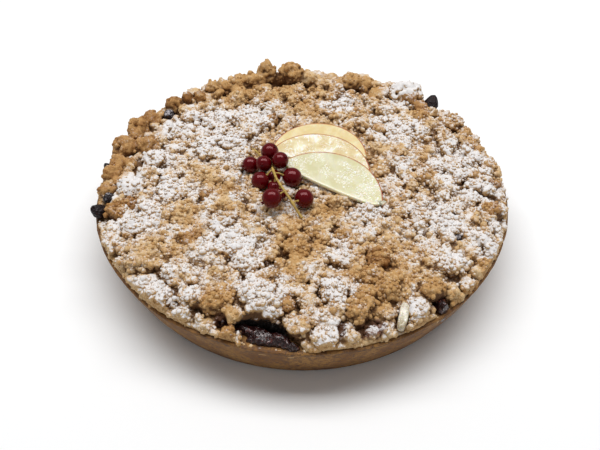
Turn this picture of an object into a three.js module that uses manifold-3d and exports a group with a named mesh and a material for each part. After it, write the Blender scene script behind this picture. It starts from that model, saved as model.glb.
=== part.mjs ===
// A crumble tart, 24 cm across its rim: a shallow shortcrust shell, a dark fruit filling, a thick crumble
// topping, three fanned apple slices and a sprig of redcurrants, with baked berries sunk along the rim.
// Millimetres, +Z up. The origin is the middle of the flat underside, and -Y is the front, where a gap in
// the crumble shows the jam.
import * as THREE from "three";
import { mergeVertices } from "three/addons/utils/BufferGeometryUtils.js";
import Module from "manifold-3d";

const wasm = await Module();
wasm.setup();

// ---------------------------------------------------------------- driving dimensions

const SECTORS = 60; // facets round the tart, alike on every round layer so that they nest
const GAP = 0.3; // clearance between neighbouring pieces

const SHELL = {
  rimRadius: 120,
  baseRadius: 107.5,
  height: 32,
  floor: 5,
  wall: 6,
  belly: 0.9, // how far the wall bulges half-way up
  wobble: 0.5, // how far the baked rim and wall wander
};

// The low place in the rim at the back.
const BACK_DIP = { azimuth: 84, halfWidth: 15, drop: 3, inset: 2 };

const FILLING = { top: 26 };

const CRUMBLE = {
  top: 38.2, // mean height of the bed of fine crumbs
  relief: 0.8, // slow rise and fall of the bed
  knobbly: 1.5, // rise and fall of the bed from one facet to the next
  edgeTop: 35, // height of the bed where it turns down to the rim
  edgeInset: 1.2, // how far its outer edge stands back from the rim
  rings: 11,
  looseLumps: 44,
  looseRadius: [2.6, 4.9],
};

const LOOKS = {
  pastry: { color: 0xb58a55, roughness: 0.8 },
  jam: { color: 0x2c1015, roughness: 0.2 },
  crumble: { color: 0xd9b684, roughness: 0.9 },
  apple: { color: 0xeee3a6, roughness: 0.3 },
  redcurrant: { color: 0x6d0a18, roughness: 0.12 },
  stem: { color: 0xb8973c, roughness: 0.6 },
  darkBerry: { color: 0x1d1420, roughness: 0.35 },
};

const radians = (degrees) => (degrees * Math.PI) / 180;
const lean = (SHELL.rimRadius - SHELL.baseRadius) / SHELL.height; // how far the wall opens for each mm up

// ---------------------------------------------------------------- helpers

// A repeatable stream of numbers from 0 to 1.
function stream(seed) {
  let state = seed >>> 0;
  return () => {
    state = (Math.imul(state, 1664525) + 1013904223) >>> 0;
    return state / 4294967296;
  };
}

// A smooth uneven wave from about -1 to 1 over the plane.
function ripple(x, y, scale, shift = 0) {
  const u = x / scale;
  const v = y / scale;
  const slow = Math.sin(1.7 * u + 0.9 * v + shift) + Math.sin(1.9 * v - 1.1 * u + 2.3 * shift + 1);
  const quick = Math.sin(3.1 * u - 2.3 * v + 1.7 * shift + 2) + Math.sin(2.7 * v + 3.7 * u - shift);
  return (slow + 0.6 * quick) / 3.2;
}

// From 0 to 1 as a value passes from one edge to the other.
const smoothStep = (value, from, to) => THREE.MathUtils.smoothstep(value, from, to);

// How deep in the back dip an angle is, from 0 to 1.
function dipAt(angle) {
  const turned = THREE.MathUtils.euclideanModulo(angle - radians(BACK_DIP.azimuth) + Math.PI, 2 * Math.PI);
  const reach = radians(BACK_DIP.halfWidth);
  return 1 - smoothStep(Math.abs(turned - Math.PI), 0.3 * reach, reach);
}

// The closed geometry as a manifold-3d solid.
function toSolid(geometry) {
  const bare = new THREE.BufferGeometry().setAttribute("position", geometry.getAttribute("position"));
  bare.setIndex(geometry.getIndex());
  const merged = mergeVertices(bare, 1e-3);
  return new wasm.Manifold(
    new wasm.Mesh({
      numProp: 3,
      vertProperties: new Float32Array(merged.attributes.position.array),
      triVerts: new Uint32Array(merged.index.array),
    }),
  );
}

// The solid's largest piece as a three.js geometry, without the loose scraps that a cut leaves.
function toGeometry(solid) {
  const [largest] = solid.decompose().sort((a, b) => b.volume() - a.volume());
  const mesh = largest.getMesh();
  return new THREE.BufferGeometry()
    .setAttribute("position", new THREE.BufferAttribute(new Float32Array(mesh.vertProperties), 3))
    .setIndex(new THREE.BufferAttribute(new Uint32Array(mesh.triVerts), 1));
}

const union = (solids) => wasm.Manifold.union(solids);

// A closed round body. Each ring is a function of the angle that gives [radius, height]. The first and last
// lie on the axis, and the rings run over the top, outwards and back underneath.
function roundBody(rings) {
  const points = [];
  const faces = [];
  const rows = rings.map((ring, k) => {
    const onAxis = k === 0 || k === rings.length - 1;
    const first = points.length;
    for (let s = 0; s < (onAxis ? 1 : SECTORS); s++) {
      const angle = (2 * Math.PI * s) / SECTORS;
      const [radius, z] = ring(angle);
      points.push([onAxis ? 0 : radius * Math.cos(angle), onAxis ? 0 : radius * Math.sin(angle), z]);
    }
    return (s) => (onAxis ? first : first + (s % SECTORS));
  });
  for (let k = 0; k + 1 < rings.length; k++) {
    for (let s = 0; s < SECTORS; s++) {
      const [a, b, c, d] = [rows[k](s), rows[k + 1](s), rows[k + 1](s + 1), rows[k](s + 1)];
      if (b !== c) faces.push(a, b, c);
      if (a !== d) faces.push(a, c, d);
    }
  }
  return new THREE.BufferGeometry()
    .setAttribute("position", new THREE.BufferAttribute(new Float32Array(points.flat()), 3))
    .setIndex(faces);
}

// The rough ball that a lump is made from: its rings as [radius, height] between the poles, and its sides.
const BALLS = {
  large: { rings: [[0.86, -0.3], [1, 0.25], [0.62, 0.78]], sides: 8 },
  middling: { rings: [[1, 0.05], [0.62, 0.75]], sides: 6 },
  small: { rings: [[1, 0.2]], sides: 5 },
};

function ballFor(width) {
  if (width >= 14) return BALLS.large;
  return width >= 9.5 ? BALLS.middling : BALLS.small;
}

// A lump of dough or jam: a few-sided ball, knocked out of true, stretched to its size and turned.
function lumpGeometry({ x, y, z, halfWidth, halfDepth, halfHeight, turn = 0, seed, ball, rough = 0.14 }) {
  const draw = stream(seed);
  const profile = [[0, -1], ...ball.rings, [0, 1]].map((point) => new THREE.Vector2(...point));
  const lathed = new THREE.LatheGeometry(profile, ball.sides, draw() * 6);
  const lump = mergeVertices(lathed.deleteAttribute("uv").deleteAttribute("normal"), 1e-3);
  const points = lump.getAttribute("position");
  for (let i = 0; i < points.count; i++) {
    const swell = 1 + rough * (2 * draw() - 1);
    points.setXYZ(i, points.getX(i) * swell, points.getY(i) * swell, points.getZ(i) * swell);
  }
  return lump
    .rotateX(Math.PI / 2)
    .scale(halfWidth, halfDepth, halfHeight)
    .rotateZ(turn)
    .translate(x, y, z);
}

// A stalk of even thickness along a smooth curve through the points.
function stalkGeometry(points, radius, steps, sides = 6) {
  const section = new THREE.Shape(
    Array.from({ length: sides }, (_, k) => {
      const angle = (2 * Math.PI * k) / sides;
      return new THREE.Vector2(radius * Math.cos(angle), radius * Math.sin(angle));
    }),
  );
  return new THREE.ExtrudeGeometry(section, { steps, extrudePath: new THREE.CatmullRomCurve3(points) });
}

function pieceMesh(name, geometry, look) {
  const flat = geometry.index ? geometry.toNonIndexed() : geometry;
  flat.computeVertexNormals();
  const piece = new THREE.Mesh(flat, new THREE.MeshStandardMaterial({ ...look, metalness: 0 }));
  piece.name = name;
  return piece;
}

// ---------------------------------------------------------------- pastry shell

const wander = (angle, turns, shift) => SHELL.wobble * Math.sin(turns * angle + shift);

function rimHeight(angle) {
  const uneven = wander(angle, 7, 1) * 0.6 + wander(angle, 13, 2) * 0.4 - SHELL.wobble;
  return SHELL.height + uneven - BACK_DIP.drop * dipAt(angle);
}

// The wall's outside at a share of its height, and its inside at a height.
function outerRadius(share, angle) {
  const straight = THREE.MathUtils.lerp(SHELL.baseRadius, SHELL.rimRadius, share);
  const belly = SHELL.belly * Math.sin(Math.PI * share);
  const uneven = wander(angle, 4, 0.5) * 0.5 + wander(angle, 9, 3) * 0.3 - BACK_DIP.inset * dipAt(angle);
  return straight + belly + share * uneven;
}
const innerRadius = (z) => SHELL.baseRadius + lean * z - SHELL.wall - BACK_DIP.inset;

function pastryShell() {
  const wallShares = [0.97, 0.7, 0.35];
  const rings = [
    () => [0, SHELL.floor],
    () => [innerRadius(SHELL.floor), SHELL.floor],
    (a) => [innerRadius(SHELL.height), rimHeight(a) - 0.5],
    (a) => [outerRadius(1, a) - 2, rimHeight(a)],
    ...wallShares.map((share) => (a) => [outerRadius(share, a), share * rimHeight(a)]),
    () => [SHELL.baseRadius - 1, 0],
    () => [0, 0],
  ];
  return pieceMesh("pastry_shell", roundBody(rings), LOOKS.pastry);
}

// ---------------------------------------------------------------- sunken berries, jam and apple

// Where jam has welled up through the crumble: [x, y, top, half-width, half-depth, turn in degrees].
const JAM_WELLS = [
  [-29, -105, 33.5, 8, 4, -18],
  [-20, -109, 34.5, 8, 4.5, -22],
  [-20, -113, 33.4, 9, 2.9, -12],
  [-11, -112.5, 35.2, 7, 4, -25],
  [-4.5, -116.5, 34.6, 4.5, 2.8, -20],
  [70.5, -92.8, 37.5, 3.6, 6, 36],
  [34, -108, 34.5, 6, 2.6, 15],
  [-38.5, -104.5, 36, 2.6, 2.2, 0],
];

// The dark cave in the crumble above the jam at the front.
const JAM_CAVE = {
  x: -21,
  y: -107.6,
  z: 33.4,
  halfWidth: 12,
  halfDepth: 4.2,
  halfHeight: 4.8,
  turn: radians(-12),
};

// Baked berries: centre, half-width and half-height, and how far the tip is drawn out.
const DARK_BERRIES = {
  dark_berry_left_outer: { x: -114.3, y: -26.4, z: 36.5, radius: 4.2, tip: 0.4, lean: 200 },
  dark_berry_left_inner: { x: -110.4, y: -17.6, z: 38, radius: 3.3, tip: 0.2, lean: 100 },
  dark_berry_left_far: { x: -116.8, y: 12.3, z: 36.5, radius: 2.3, tip: 0.3, lean: 160 },
  dark_berry_back_left: { x: -86.2, y: 63, z: 37.5, radius: 3.8, tip: 0.1, lean: 120 },
  dark_berry_back_right: { x: 84.6, y: 76.6, z: 37.5, radius: 4.8, tip: 0.5, lean: 60 },
  dark_berry_right: { x: 83.8, y: -47.7, z: 37.8, radius: 2.4, tip: 0.3, lean: 40 },
};

const APPLE_CHUNK = { x: 50, y: -101, z: 36.8, length: 15, width: 5, height: 6, turn: radians(-17) };

// A wrinkled berry with its tip drawn out towards the rim.
function darkBerrySolid({ x, y, z, radius, tip, lean: azimuth }, grow = 0) {
  const size = radius + grow;
  const sizes = { halfWidth: size, halfDepth: size, halfHeight: size * 0.92 };
  const berry = lumpGeometry({ x: 0, y: 0, z: 0, ...sizes, seed: 31, ball: BALLS.large, rough: 0.05 });
  const points = berry.getAttribute("position");
  const towards = new THREE.Vector3(Math.cos(radians(azimuth)), Math.sin(radians(azimuth)), 1.2).normalize();
  const point = new THREE.Vector3();
  for (let i = 0; i < points.count; i++) {
    point.fromBufferAttribute(points, i);
    const along = Math.max(0, point.dot(towards) / size);
    point.addScaledVector(towards, size * tip * along ** 4);
    points.setXYZ(i, point.x + x, point.y + y, point.z + z);
  }
  return toSolid(berry);
}

function jamWellSolid([x, y, top, halfWidth, halfDepth, turn], grow = 0) {
  const z = (FILLING.top + top) / 2;
  const sizes = { halfWidth: halfWidth + grow, halfDepth: halfDepth + grow, halfHeight: top - z + 2 + grow };
  return toSolid(
    lumpGeometry({ x, y, z, ...sizes, turn: radians(turn), seed: 17, ball: BALLS.large, rough: 0.05 }),
  );
}

// A stub of baked apple, round-backed and flat underneath.
function appleChunkSolid(grow = 0) {
  const { x, y, z, length, width, height, turn } = APPLE_CHUNK;
  const half = width / 2 + grow;
  const section = new THREE.Shape();
  section.moveTo(-half, -grow);
  section.lineTo(half, -grow);
  section.lineTo(half, height * 0.5 + grow);
  section.absellipse(0, height * 0.5 + grow, half, height * 0.5, 0, Math.PI, false);
  const shape = { depth: length + 2 * grow, bevelEnabled: false, curveSegments: 6 };
  const chunk = new THREE.ExtrudeGeometry(section, shape);
  chunk.translate(0, 0, -length / 2 - grow).rotateX(Math.PI / 2).rotateZ(turn);
  return toSolid(chunk.translate(x, y, z - height / 2));
}

// ---------------------------------------------------------------- fruit filling

// All that the layers above the floor stay clear of: the pastry, grown by the gap, and what is under it.
function pastryRoom(floorHeight) {
  const rings = [
    () => [0, floorHeight],
    () => [innerRadius(floorHeight) - GAP, floorHeight],
    (a) => [innerRadius(SHELL.height) - GAP, rimHeight(a) - 0.5 + GAP],
    (a) => [outerRadius(1, a) - 2, rimHeight(a) + GAP],
    (a) => [outerRadius(1, a) + 12, rimHeight(a) + GAP],
    (a) => [outerRadius(1, a) + 12, -6],
    () => [0, -6],
  ];
  return toSolid(roundBody(rings));
}

function fruitFilling() {
  const low = SHELL.floor + GAP;
  const disc = roundBody([
    () => [0, FILLING.top],
    () => [innerRadius(FILLING.top) * 0.55, FILLING.top],
    () => [innerRadius(FILLING.top) - GAP, FILLING.top],
    () => [innerRadius(low) - GAP, low],
    () => [0, low],
  ]);
  const filling = union([toSolid(disc), ...JAM_WELLS.map((well) => jamWellSolid(well))]);
  return pieceMesh("fruit_filling", toGeometry(filling.subtract(pastryRoom(low - 0.05))), LOOKS.jam);
}

// ---------------------------------------------------------------- toppings

// Apple slices, from the back one to the front one, each lying on the one behind: the middle of the cut edge
// between its two ends, its turn, how far the slice leans forward and sideways, half the length of the cut
// edge, how deep the half-moon behind it is, and how far the edge bulges towards the front.
const SLICES = {
  apple_slice_back: {
    x: 9.9, y: 21.45, z: 38.4, turn: -6.6, tilt: 6, roll: 0,
    half: 29, depth: 26.85, bulge: -0.6,
  },
  apple_slice_middle: {
    x: 9.8, y: 9.75, z: 39.65, turn: -18.5, tilt: 8, roll: 1.5,
    half: 31.7, depth: 25.15, bulge: -0.6,
  },
  apple_slice_front: {
    x: 15.7, y: -9.25, z: 40.2, turn: -31.6, tilt: 8, roll: 2.5,
    half: 33.95, depth: 24.6, bulge: 2.1,
  },
};
const SLICE_THICKNESS = 2.4;

// Redcurrants: centre, radius, and where on the stem its stalk starts, as a share of the stem's length.
const CURRANTS = [
  [-19.5, 15.1, 46.7, 5.35, 0.18],
  [-30.8, 8.3, 42.4, 4.9, 0.23],
  [-22.6, 4.3, 46.5, 4.85, 0.26],
  [-13, 4.6, 48.9, 4.95, 0.32],
  [-24.3, -6.7, 42.9, 5.3, 0.48],
  [-6, -4.7, 43.9, 5.8, 0.52],
  [-17, -26.2, 47.2, 5.65, 0.76],
  [0.9, -21.8, 43.2, 5.5, 0.87],
  [-16.1, -11.4, 42, 4, 0.57],
  [-12.6, -18.4, 43.6, 3.8, 0.68],
  [-16.6, -1.2, 41.75, 4, 0.49],
];

const STEM = {
  radius: 0.65,
  stalkRadius: 0.42,
  steps: 24,
  points: [
    [-30.9, 27.3, 39.3],
    [-28.7, 24.9, 39.6],
    [-26.7, 21.6, 40],
    [-24.8, 17.7, 40.5],
    [-22.5, 13.4, 41.2],
    [-20.5, 10.1, 41.8],
    [-18.4, 7, 42.8],
    [-17.1, 3.7, 44.2],
    [-17.5, -0.6, 47.4],
    [-16.2, -6.3, 48.5],
    [-14.8, -11.9, 49.4],
    [-11.3, -20.1, 49.7],
    [-8.3, -25, 48.5],
    [-5.3, -29.1, 46],
    [-2.8, -31.9, 43],
    [-0.2, -34.8, 40.4],
  ],
};

function sliceMesh(name, { x, y, z, turn, tilt, roll, half, depth, bulge }) {
  const radius = (half * half + depth * depth) / (2 * depth);
  const reach = Math.asin(half / radius);
  const outline = new THREE.Shape();
  outline.moveTo(-half, 0);
  outline.quadraticCurveTo(0, -2 * bulge, half, 0);
  outline.absarc(0, depth - radius, radius, Math.PI / 2 - reach, Math.PI / 2 + reach, false);
  const slice = pieceMesh(
    name,
    new THREE.ExtrudeGeometry(outline, { depth: SLICE_THICKNESS, bevelEnabled: false, curveSegments: 12 }),
    LOOKS.apple,
  );
  slice.position.set(x, y, z);
  slice.rotation.set(radians(tilt), radians(roll), radians(turn), "ZXY");
  return slice;
}

const stemCurve = new THREE.CatmullRomCurve3(STEM.points.map((point) => new THREE.Vector3(...point)));

// A redcurrant with the dry tip of its flower on the side away from the stem.
function currantMesh(name, [x, y, z, radius, share]) {
  const [sides, rows] = [8, 6];
  const profile = [[0, -radius]];
  for (let k = 1; k < rows; k++) {
    const angle = (Math.PI * k) / rows;
    profile.push([radius * Math.sin(angle), -radius * Math.cos(angle)]);
  }
  profile.push([radius * 0.14, radius * 0.99], [radius * 0.1, radius * 1.14], [0, radius * 1.14]);
  const berry = new THREE.LatheGeometry(profile.map((point) => new THREE.Vector2(...point)), sides);
  const away = new THREE.Vector3(x, y, z).sub(stemCurve.getPointAt(share)).normalize();
  berry.applyQuaternion(new THREE.Quaternion().setFromUnitVectors(new THREE.Vector3(0, 1, 0), away));
  const piece = pieceMesh(name, toGeometry(toSolid(berry)), LOOKS.redcurrant);
  piece.position.set(x, y, z);
  return piece;
}

// The stem with a short stalk to each berry, which stops just short of it.
function currantStem() {
  const main = toSolid(stalkGeometry(stemCurve.points, STEM.radius, STEM.steps));
  const stalks = CURRANTS.map(([x, y, z, radius, share]) => {
    const root = stemCurve.getPointAt(share);
    const berry = new THREE.Vector3(x, y, z);
    const reach = berry.distanceTo(root) - radius - 0.4;
    const end = root.clone().addScaledVector(berry.sub(root).normalize(), reach);
    return toSolid(stalkGeometry([root, end], STEM.stalkRadius, 1, 4));
  });
  return pieceMesh("currant_stem", toGeometry(union([main, ...stalks])), LOOKS.stem);
}

// ---------------------------------------------------------------- crumble

// The place under the slices and the sprig, where the bed is pressed flat.
const PRESSED = { x: 5, y: 6, halfWidth: 50, halfDepth: 50, depth: 0.9 };

// The height of the bed of fine crumbs, without its lumps.
function bedHeight(x, y) {
  const edge = smoothStep(Math.hypot(x, y), 102, 118.5);
  const fall = CRUMBLE.top - CRUMBLE.edgeTop + BACK_DIP.drop * dipAt(Math.atan2(y, x));
  const free = freeOfToppings(x, y);
  return CRUMBLE.top - PRESSED.depth * (1 - free) + CRUMBLE.relief * free * ripple(x, y, 30) - fall * edge;
}

// From 0 under the toppings to 1 clear of them.
function freeOfToppings(x, y) {
  const reach = Math.hypot((x - PRESSED.x) / PRESSED.halfWidth, (y - PRESSED.y) / PRESSED.halfDepth);
  return smoothStep(reach, 0.8, 1.1);
}

// The large lumps, by where they lie: [x, y, width, height above the bed].
const LUMPS = {
  leftRim: [
    [-112.5, -10, 9, 6], [-107.5, -3, 6, 4], [-112, 4, 11, 7], [-110.5, 14, 10, 7], [-103, 12, 7, 4],
    [-108.5, 27, 15, 10], [-95, 28, 14, 7], [-103, 46, 14, 10], [-96, 56, 11, 7], [-104, -28, 11, 5],
    [-97, -23, 8, 4], [-99, -11, 15, 7], [-103, 38, 9, 7],
  ],
  backRim: [
    [-84, 71, 10, 9], [-76, 78, 8, 8], [-68, 80, 8, 6], [-60, 89, 9, 8], [-52, 92, 7, 6],
    [-43, 97, 13, 7], [-35, 100, 10, 7], [-24.5, 103, 14, 15.5], [-29, 99, 9, 7], [-8, 101, 16, 13],
    [-15, 101, 8, 6], [3.5, 100.5, 11, 8], [12, 98, 7, 3.5], [18, 98, 7, 3.5], [25, 97, 11, 6],
    [33, 98, 14, 8.5], [43, 97, 11, 6.5], [50, 95, 7, 6], [57, 94, 8, 6], [68, 84, 19, 11],
    [71, 77, 10, 8], [77, 70, 9, 6], [83, 64, 8, 5],
  ],
  rightRim: [
    [76, 60, 12, 5], [96, 54, 12, 7], [102, 45, 8, 5], [104, 36, 8, 4], [108, 29, 7, 5],
    [112, 13, 8, 5], [108, 7, 7, 4], [113, -3, 6, 4], [106, -25, 11, 5], [91, 33, 9, 4],
    [99, 15, 9, 4],
  ],
  middle: [
    [-88, 16, 14, 6], [-54, -17, 9, 5], [-77, -14, 12, 4.5], [-70, -31, 17, 5], [-90, -41, 15, 6],
    [-60, -51, 11, 5], [-28, -68, 15, 6], [-3, -58, 14, 6], [36, -31, 14, 5.5], [40, -64, 13, 6],
    [36, -77, 12, 6], [53, -74, 7, 4], [-20, 56, 9, 4], [-62, 40, 11, 4], [60, 8, 9, 4],
    [74, 3, 11, 4], [66, -34, 12, 4.5], [48, 47, 10, 4], [62, 30, 10, 4], [-64, 10, 10, 4],
    [22, -46, 9, 4], [-44, -36, 11, 4.5],
  ],
  front: [
    [-103, -50, 12, 4], [-83, -66, 17, 7], [-68, -75, 10, 5], [-73, -90, 15, 7], [-55, -91, 13, 7],
    [-45, -95, 12, 7], [-37, -92, 8, 5], [-57, -79, 7, 4], [-47, -82, 7, 4], [-19, -95.6, 21, 9],
    [-8, -98, 9, 6], [3, -95, 10, 6], [15, -89, 13, 7], [-2, -107.5, 12, 4.5], [11, -112.5, 13, 5],
    [28, -99, 14, 8], [32, -89, 9, 6], [43, -87, 12, 7], [57, -97, 13, 7], [58, -106, 8, 4],
    [66, -86, 12, 7], [75, -71, 11, 6], [96, -67, 10, 5], [86, -80, 9, 4],
    [4.5, -103, 10, 5], [-36, -110, 7, 2.5],
  ],
};

const lumps = Object.values(LUMPS)
  .flat()
  .map(([x, y, width, rise], k) => ({ x, y, width, rise, seed: 101 + k }));

// A lump's solid, sunk far enough into the bed to be one with it.
function lumpSolid({ x, y, width, rise, seed }) {
  const draw = stream(seed);
  const sink = 0.3 * width + 1;
  const halfHeight = (rise + sink) / 2;
  const stretch = 1 + 0.22 * (draw() - 0.5);
  const z = bedHeight(x, y) + rise - halfHeight;
  const sizes = { halfWidth: (width / 2) * stretch, halfDepth: width / 2 / stretch, halfHeight };
  return toSolid(lumpGeometry({ x, y, z, ...sizes, turn: draw() * 3, seed, ball: ballFor(width) }));
}

// Whether a loose lump may lie here, clear of everything that rests on or is sunk in the bed.
function isFree(x, y, radius) {
  const centre = new THREE.Vector2();
  const inSlice = Object.values(SLICES).some((slice) => {
    const turned = new THREE.Vector2(x - slice.x, y - slice.y).rotateAround(centre, -radians(slice.turn));
    const behind = turned.y > -radius - 2.5 && turned.y < slice.depth + radius;
    return behind && Math.abs(turned.x) < slice.half + radius;
  });
  const nearCurrant = CURRANTS.some(([cx, cy, , r]) => Math.hypot(x - cx, y - cy) < 0.75 * r + radius);
  const nearStem = STEM.points.some(([sx, sy]) => Math.hypot(x - sx, y - sy) < 3 + radius);
  const nearCave = Math.hypot((x - JAM_CAVE.x) / 16, (y - JAM_CAVE.y) / 7) < 1;
  return !inSlice && !nearCurrant && !nearStem && !nearCave;
}

// Smaller lumps scattered over the rest of the bed, none closer than its neighbours allow.
function looseLumps() {
  const draw = stream(2024);
  const placed = lumps.map(({ x, y, width }) => [x, y, width * 0.42]);
  const found = [];
  while (found.length < CRUMBLE.looseLumps) {
    const reach = 116 * Math.sqrt(draw());
    const angle = 2 * Math.PI * draw();
    const radius = THREE.MathUtils.lerp(...CRUMBLE.looseRadius, draw() ** 1.6);
    const [x, y] = [reach * Math.cos(angle), reach * Math.sin(angle)];
    const apart = placed.every(([px, py, r]) => Math.hypot(x - px, y - py) > 0.84 * (r + radius));
    if (!apart || !isFree(x, y, radius) || reach + radius > 118) continue;
    placed.push([x, y, radius]);
    found.push({ x, y, width: 2 * radius, rise: radius * (0.7 + 0.5 * draw()), seed: 500 + found.length });
  }
  return found;
}

function crumble() {
  const bed = roundBody([
    () => [0, bedHeight(0, 0)],
    ...Array.from({ length: CRUMBLE.rings }, (_, k) => (a) => {
      const r = (SHELL.rimRadius - CRUMBLE.edgeInset - 2.5) * ((k + 1) / CRUMBLE.rings);
      const [x, y] = [r * Math.cos(a), r * Math.sin(a)];
      return [r, bedHeight(x, y) + CRUMBLE.knobbly * freeOfToppings(x, y) * ripple(x, y, 3.7, 5)];
    }),
    (a) => [outerRadius(1, a) - CRUMBLE.edgeInset, rimHeight(a) + 1.4 + 0.8 * ripple(9 * a, 0, 1)],
    (a) => [outerRadius(1, a) - CRUMBLE.edgeInset, rimHeight(a) - 1],
    (a) => [innerRadius(SHELL.height) - GAP, rimHeight(a) - 4],
    () => [innerRadius(FILLING.top) - GAP - 1, FILLING.top - 1],
    () => [0, FILLING.top - 1],
  ]);
  const solids = [
    toSolid(bed),
    ...[...lumps, ...looseLumps()].map(lumpSolid),
  ];
  const room = union([
    pastryRoom(FILLING.top + GAP),
    toSolid(lumpGeometry({ ...JAM_CAVE, seed: 9, ball: BALLS.large, rough: 0.08 })),
    appleChunkSolid(GAP),
    ...JAM_WELLS.map((well) => jamWellSolid(well, GAP)),
    ...Object.values(DARK_BERRIES).map((berry) => darkBerrySolid(berry, GAP)),
  ]);
  return pieceMesh("crumble", toGeometry(union(solids).subtract(room)), LOOKS.crumble);
}

// ---------------------------------------------------------------- the tart

const tart = new THREE.Group();
tart.add(
  pastryShell(),
  fruitFilling(),
  crumble(),
  ...Object.entries(SLICES).map(([name, slice]) => sliceMesh(name, slice)),
  ...CURRANTS.map((currant, k) => currantMesh(`currant_${k + 1}`, currant)),
  currantStem(),
  ...Object.entries(DARK_BERRIES).map(([name, berry]) =>
    pieceMesh(name, toGeometry(darkBerrySolid(berry)), LOOKS.darkBerry),
  ),
  pieceMesh("apple_chunk", toGeometry(appleChunkSolid()), LOOKS.apple),
);

export default tart;
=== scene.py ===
"""An apple crumble tart, 24 cm across: shortcrust shell, dark fruit filling, thick sugared crumble.

Three fanned apple slices and a sprig of redcurrants lie on top, and baked berries are sunk along the rim.
The classes hold their sizes in millimetres, and a mesh becomes metres where it is made. +Z is up and the
front, where a gap in the crumble shows the jam, is -Y.
"""

import itertools
import logging
import math
import sys
from dataclasses import dataclass, field
from enum import Enum
from functools import cache
from typing import Callable, Sequence

import bmesh
import bpy
import numpy as np
from mathutils import Matrix, Vector
from mathutils.kdtree import KDTree

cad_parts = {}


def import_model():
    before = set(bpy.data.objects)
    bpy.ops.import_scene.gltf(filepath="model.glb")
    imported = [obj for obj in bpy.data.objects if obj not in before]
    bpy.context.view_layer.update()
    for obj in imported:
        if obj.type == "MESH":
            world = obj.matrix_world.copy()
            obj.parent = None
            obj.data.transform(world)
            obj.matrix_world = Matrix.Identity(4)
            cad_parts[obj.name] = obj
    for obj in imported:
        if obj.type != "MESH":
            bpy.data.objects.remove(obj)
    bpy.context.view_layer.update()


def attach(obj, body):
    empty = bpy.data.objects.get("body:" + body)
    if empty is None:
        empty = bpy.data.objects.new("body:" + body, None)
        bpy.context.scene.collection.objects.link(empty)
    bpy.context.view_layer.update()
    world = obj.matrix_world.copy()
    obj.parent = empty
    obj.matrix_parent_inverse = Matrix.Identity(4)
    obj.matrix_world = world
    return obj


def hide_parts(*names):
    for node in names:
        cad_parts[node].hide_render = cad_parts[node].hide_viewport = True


MM = 0.001
BODY = "root"

Array = np.ndarray
Colour = tuple[float, float, float]
Point = tuple[float, float, float]
Skin = tuple[Array, Array]
Node = bpy.types.Node
Socket = bpy.types.NodeSocket
Mesh = bpy.types.Mesh
Object = bpy.types.Object
Values = dict[str | int, object]

log = logging.getLogger("crumble_tart")


# ---------------- numbers and noise


def smooth_step(value: Array, low: float, high: float) -> Array:
    """Gives 0 below one edge and 1 above the other, with a soft change between.

    Args:
        value: Numbers to test.
        low: Where the change starts.
        high: Where the change ends.

    Returns:
        Numbers from 0 to 1.
    """
    share = np.clip((value - low) / (high - low), 0, 1)
    return share * share * (3 - 2 * share)


def lattice_noise(points: Array, scale: float, seed: int = 0) -> Array:
    """Makes smooth repeatable noise in space.

    Args:
        points: One row of x, y, z for each place.
        scale: Size of one swell.
        seed: Picks the pattern.

    Returns:
        One number from -1 to 1 for each place.
    """
    placed = np.asarray(points, float) / scale
    cell = np.floor(placed).astype(np.int64)
    inside = placed - cell
    inside = inside * inside * (3 - 2 * inside)
    total = np.zeros(len(placed))
    for corner in itertools.product((0, 1), repeat=3):
        step = np.array(corner)
        weight = np.prod(np.where(step, inside, 1 - inside), axis=1)
        x, y, z = (cell + step).T
        mixed = (x * 73856093) ^ (y * 19349663) ^ (z * 83492791) ^ (seed * 2654435761)
        mixed = (mixed ^ (mixed >> 13)) * 1274126177
        mixed ^= mixed >> 16
        total += weight * ((mixed & 0xFFFF) / 32767.5 - 1)
    return total


def plan_noise(x: Array, y: Array, scale: float, seed: int = 0) -> Array:
    """Makes smooth repeatable noise over the plan.

    Args:
        x: Places across.
        y: Places in depth.
        scale: Size of one swell.
        seed: Picks the pattern.

    Returns:
        Numbers from -1 to 1, shaped like x.
    """
    x, y = np.broadcast_arrays(np.asarray(x, float), np.asarray(y, float))
    points = np.stack([x.ravel(), y.ravel(), np.zeros(x.size)], axis=1)
    return lattice_noise(points, scale, seed).reshape(x.shape)


def number_stream(seed: int) -> Callable[[], float]:
    """Makes a repeatable stream of numbers from 0 to 1.

    Args:
        seed: Picks the stream.

    Returns:
        A function that gives the next number.
    """
    state = seed

    def draw() -> float:
        """Gives the next number."""
        nonlocal state
        state = (state * 1664525 + 1013904223) % 2**32
        return state / 2**32

    return draw


def srgb(red: int, green: int, blue: int) -> Colour:
    """Turns a screen colour into the linear colour that a shader takes.

    Args:
        red: Red, 0 to 255.
        green: Green, 0 to 255.
        blue: Blue, 0 to 255.

    Returns:
        The linear colour.
    """
    shares = (channel / 255 for channel in (red, green, blue))
    return tuple(c / 12.92 if c <= 0.04045 else ((c + 0.055) / 1.055) ** 2.4 for c in shares)


# ---------------- meshes


def ball(subdivisions: int) -> Skin:
    """Makes a unit ball of near-equal triangles.

    Args:
        subdivisions: 1 for 20 triangles, 2 for 80, 3 for 320 and so on.

    Returns:
        Its vertices and its triangles.
    """
    sphere = bmesh.new()
    bmesh.ops.create_icosphere(sphere, subdivisions=subdivisions, radius=1)
    vertices = np.array([tuple(v.co) for v in sphere.verts])
    faces = np.array([[v.index for v in f.verts] for f in sphere.faces])
    sphere.free()
    return vertices, faces


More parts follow.
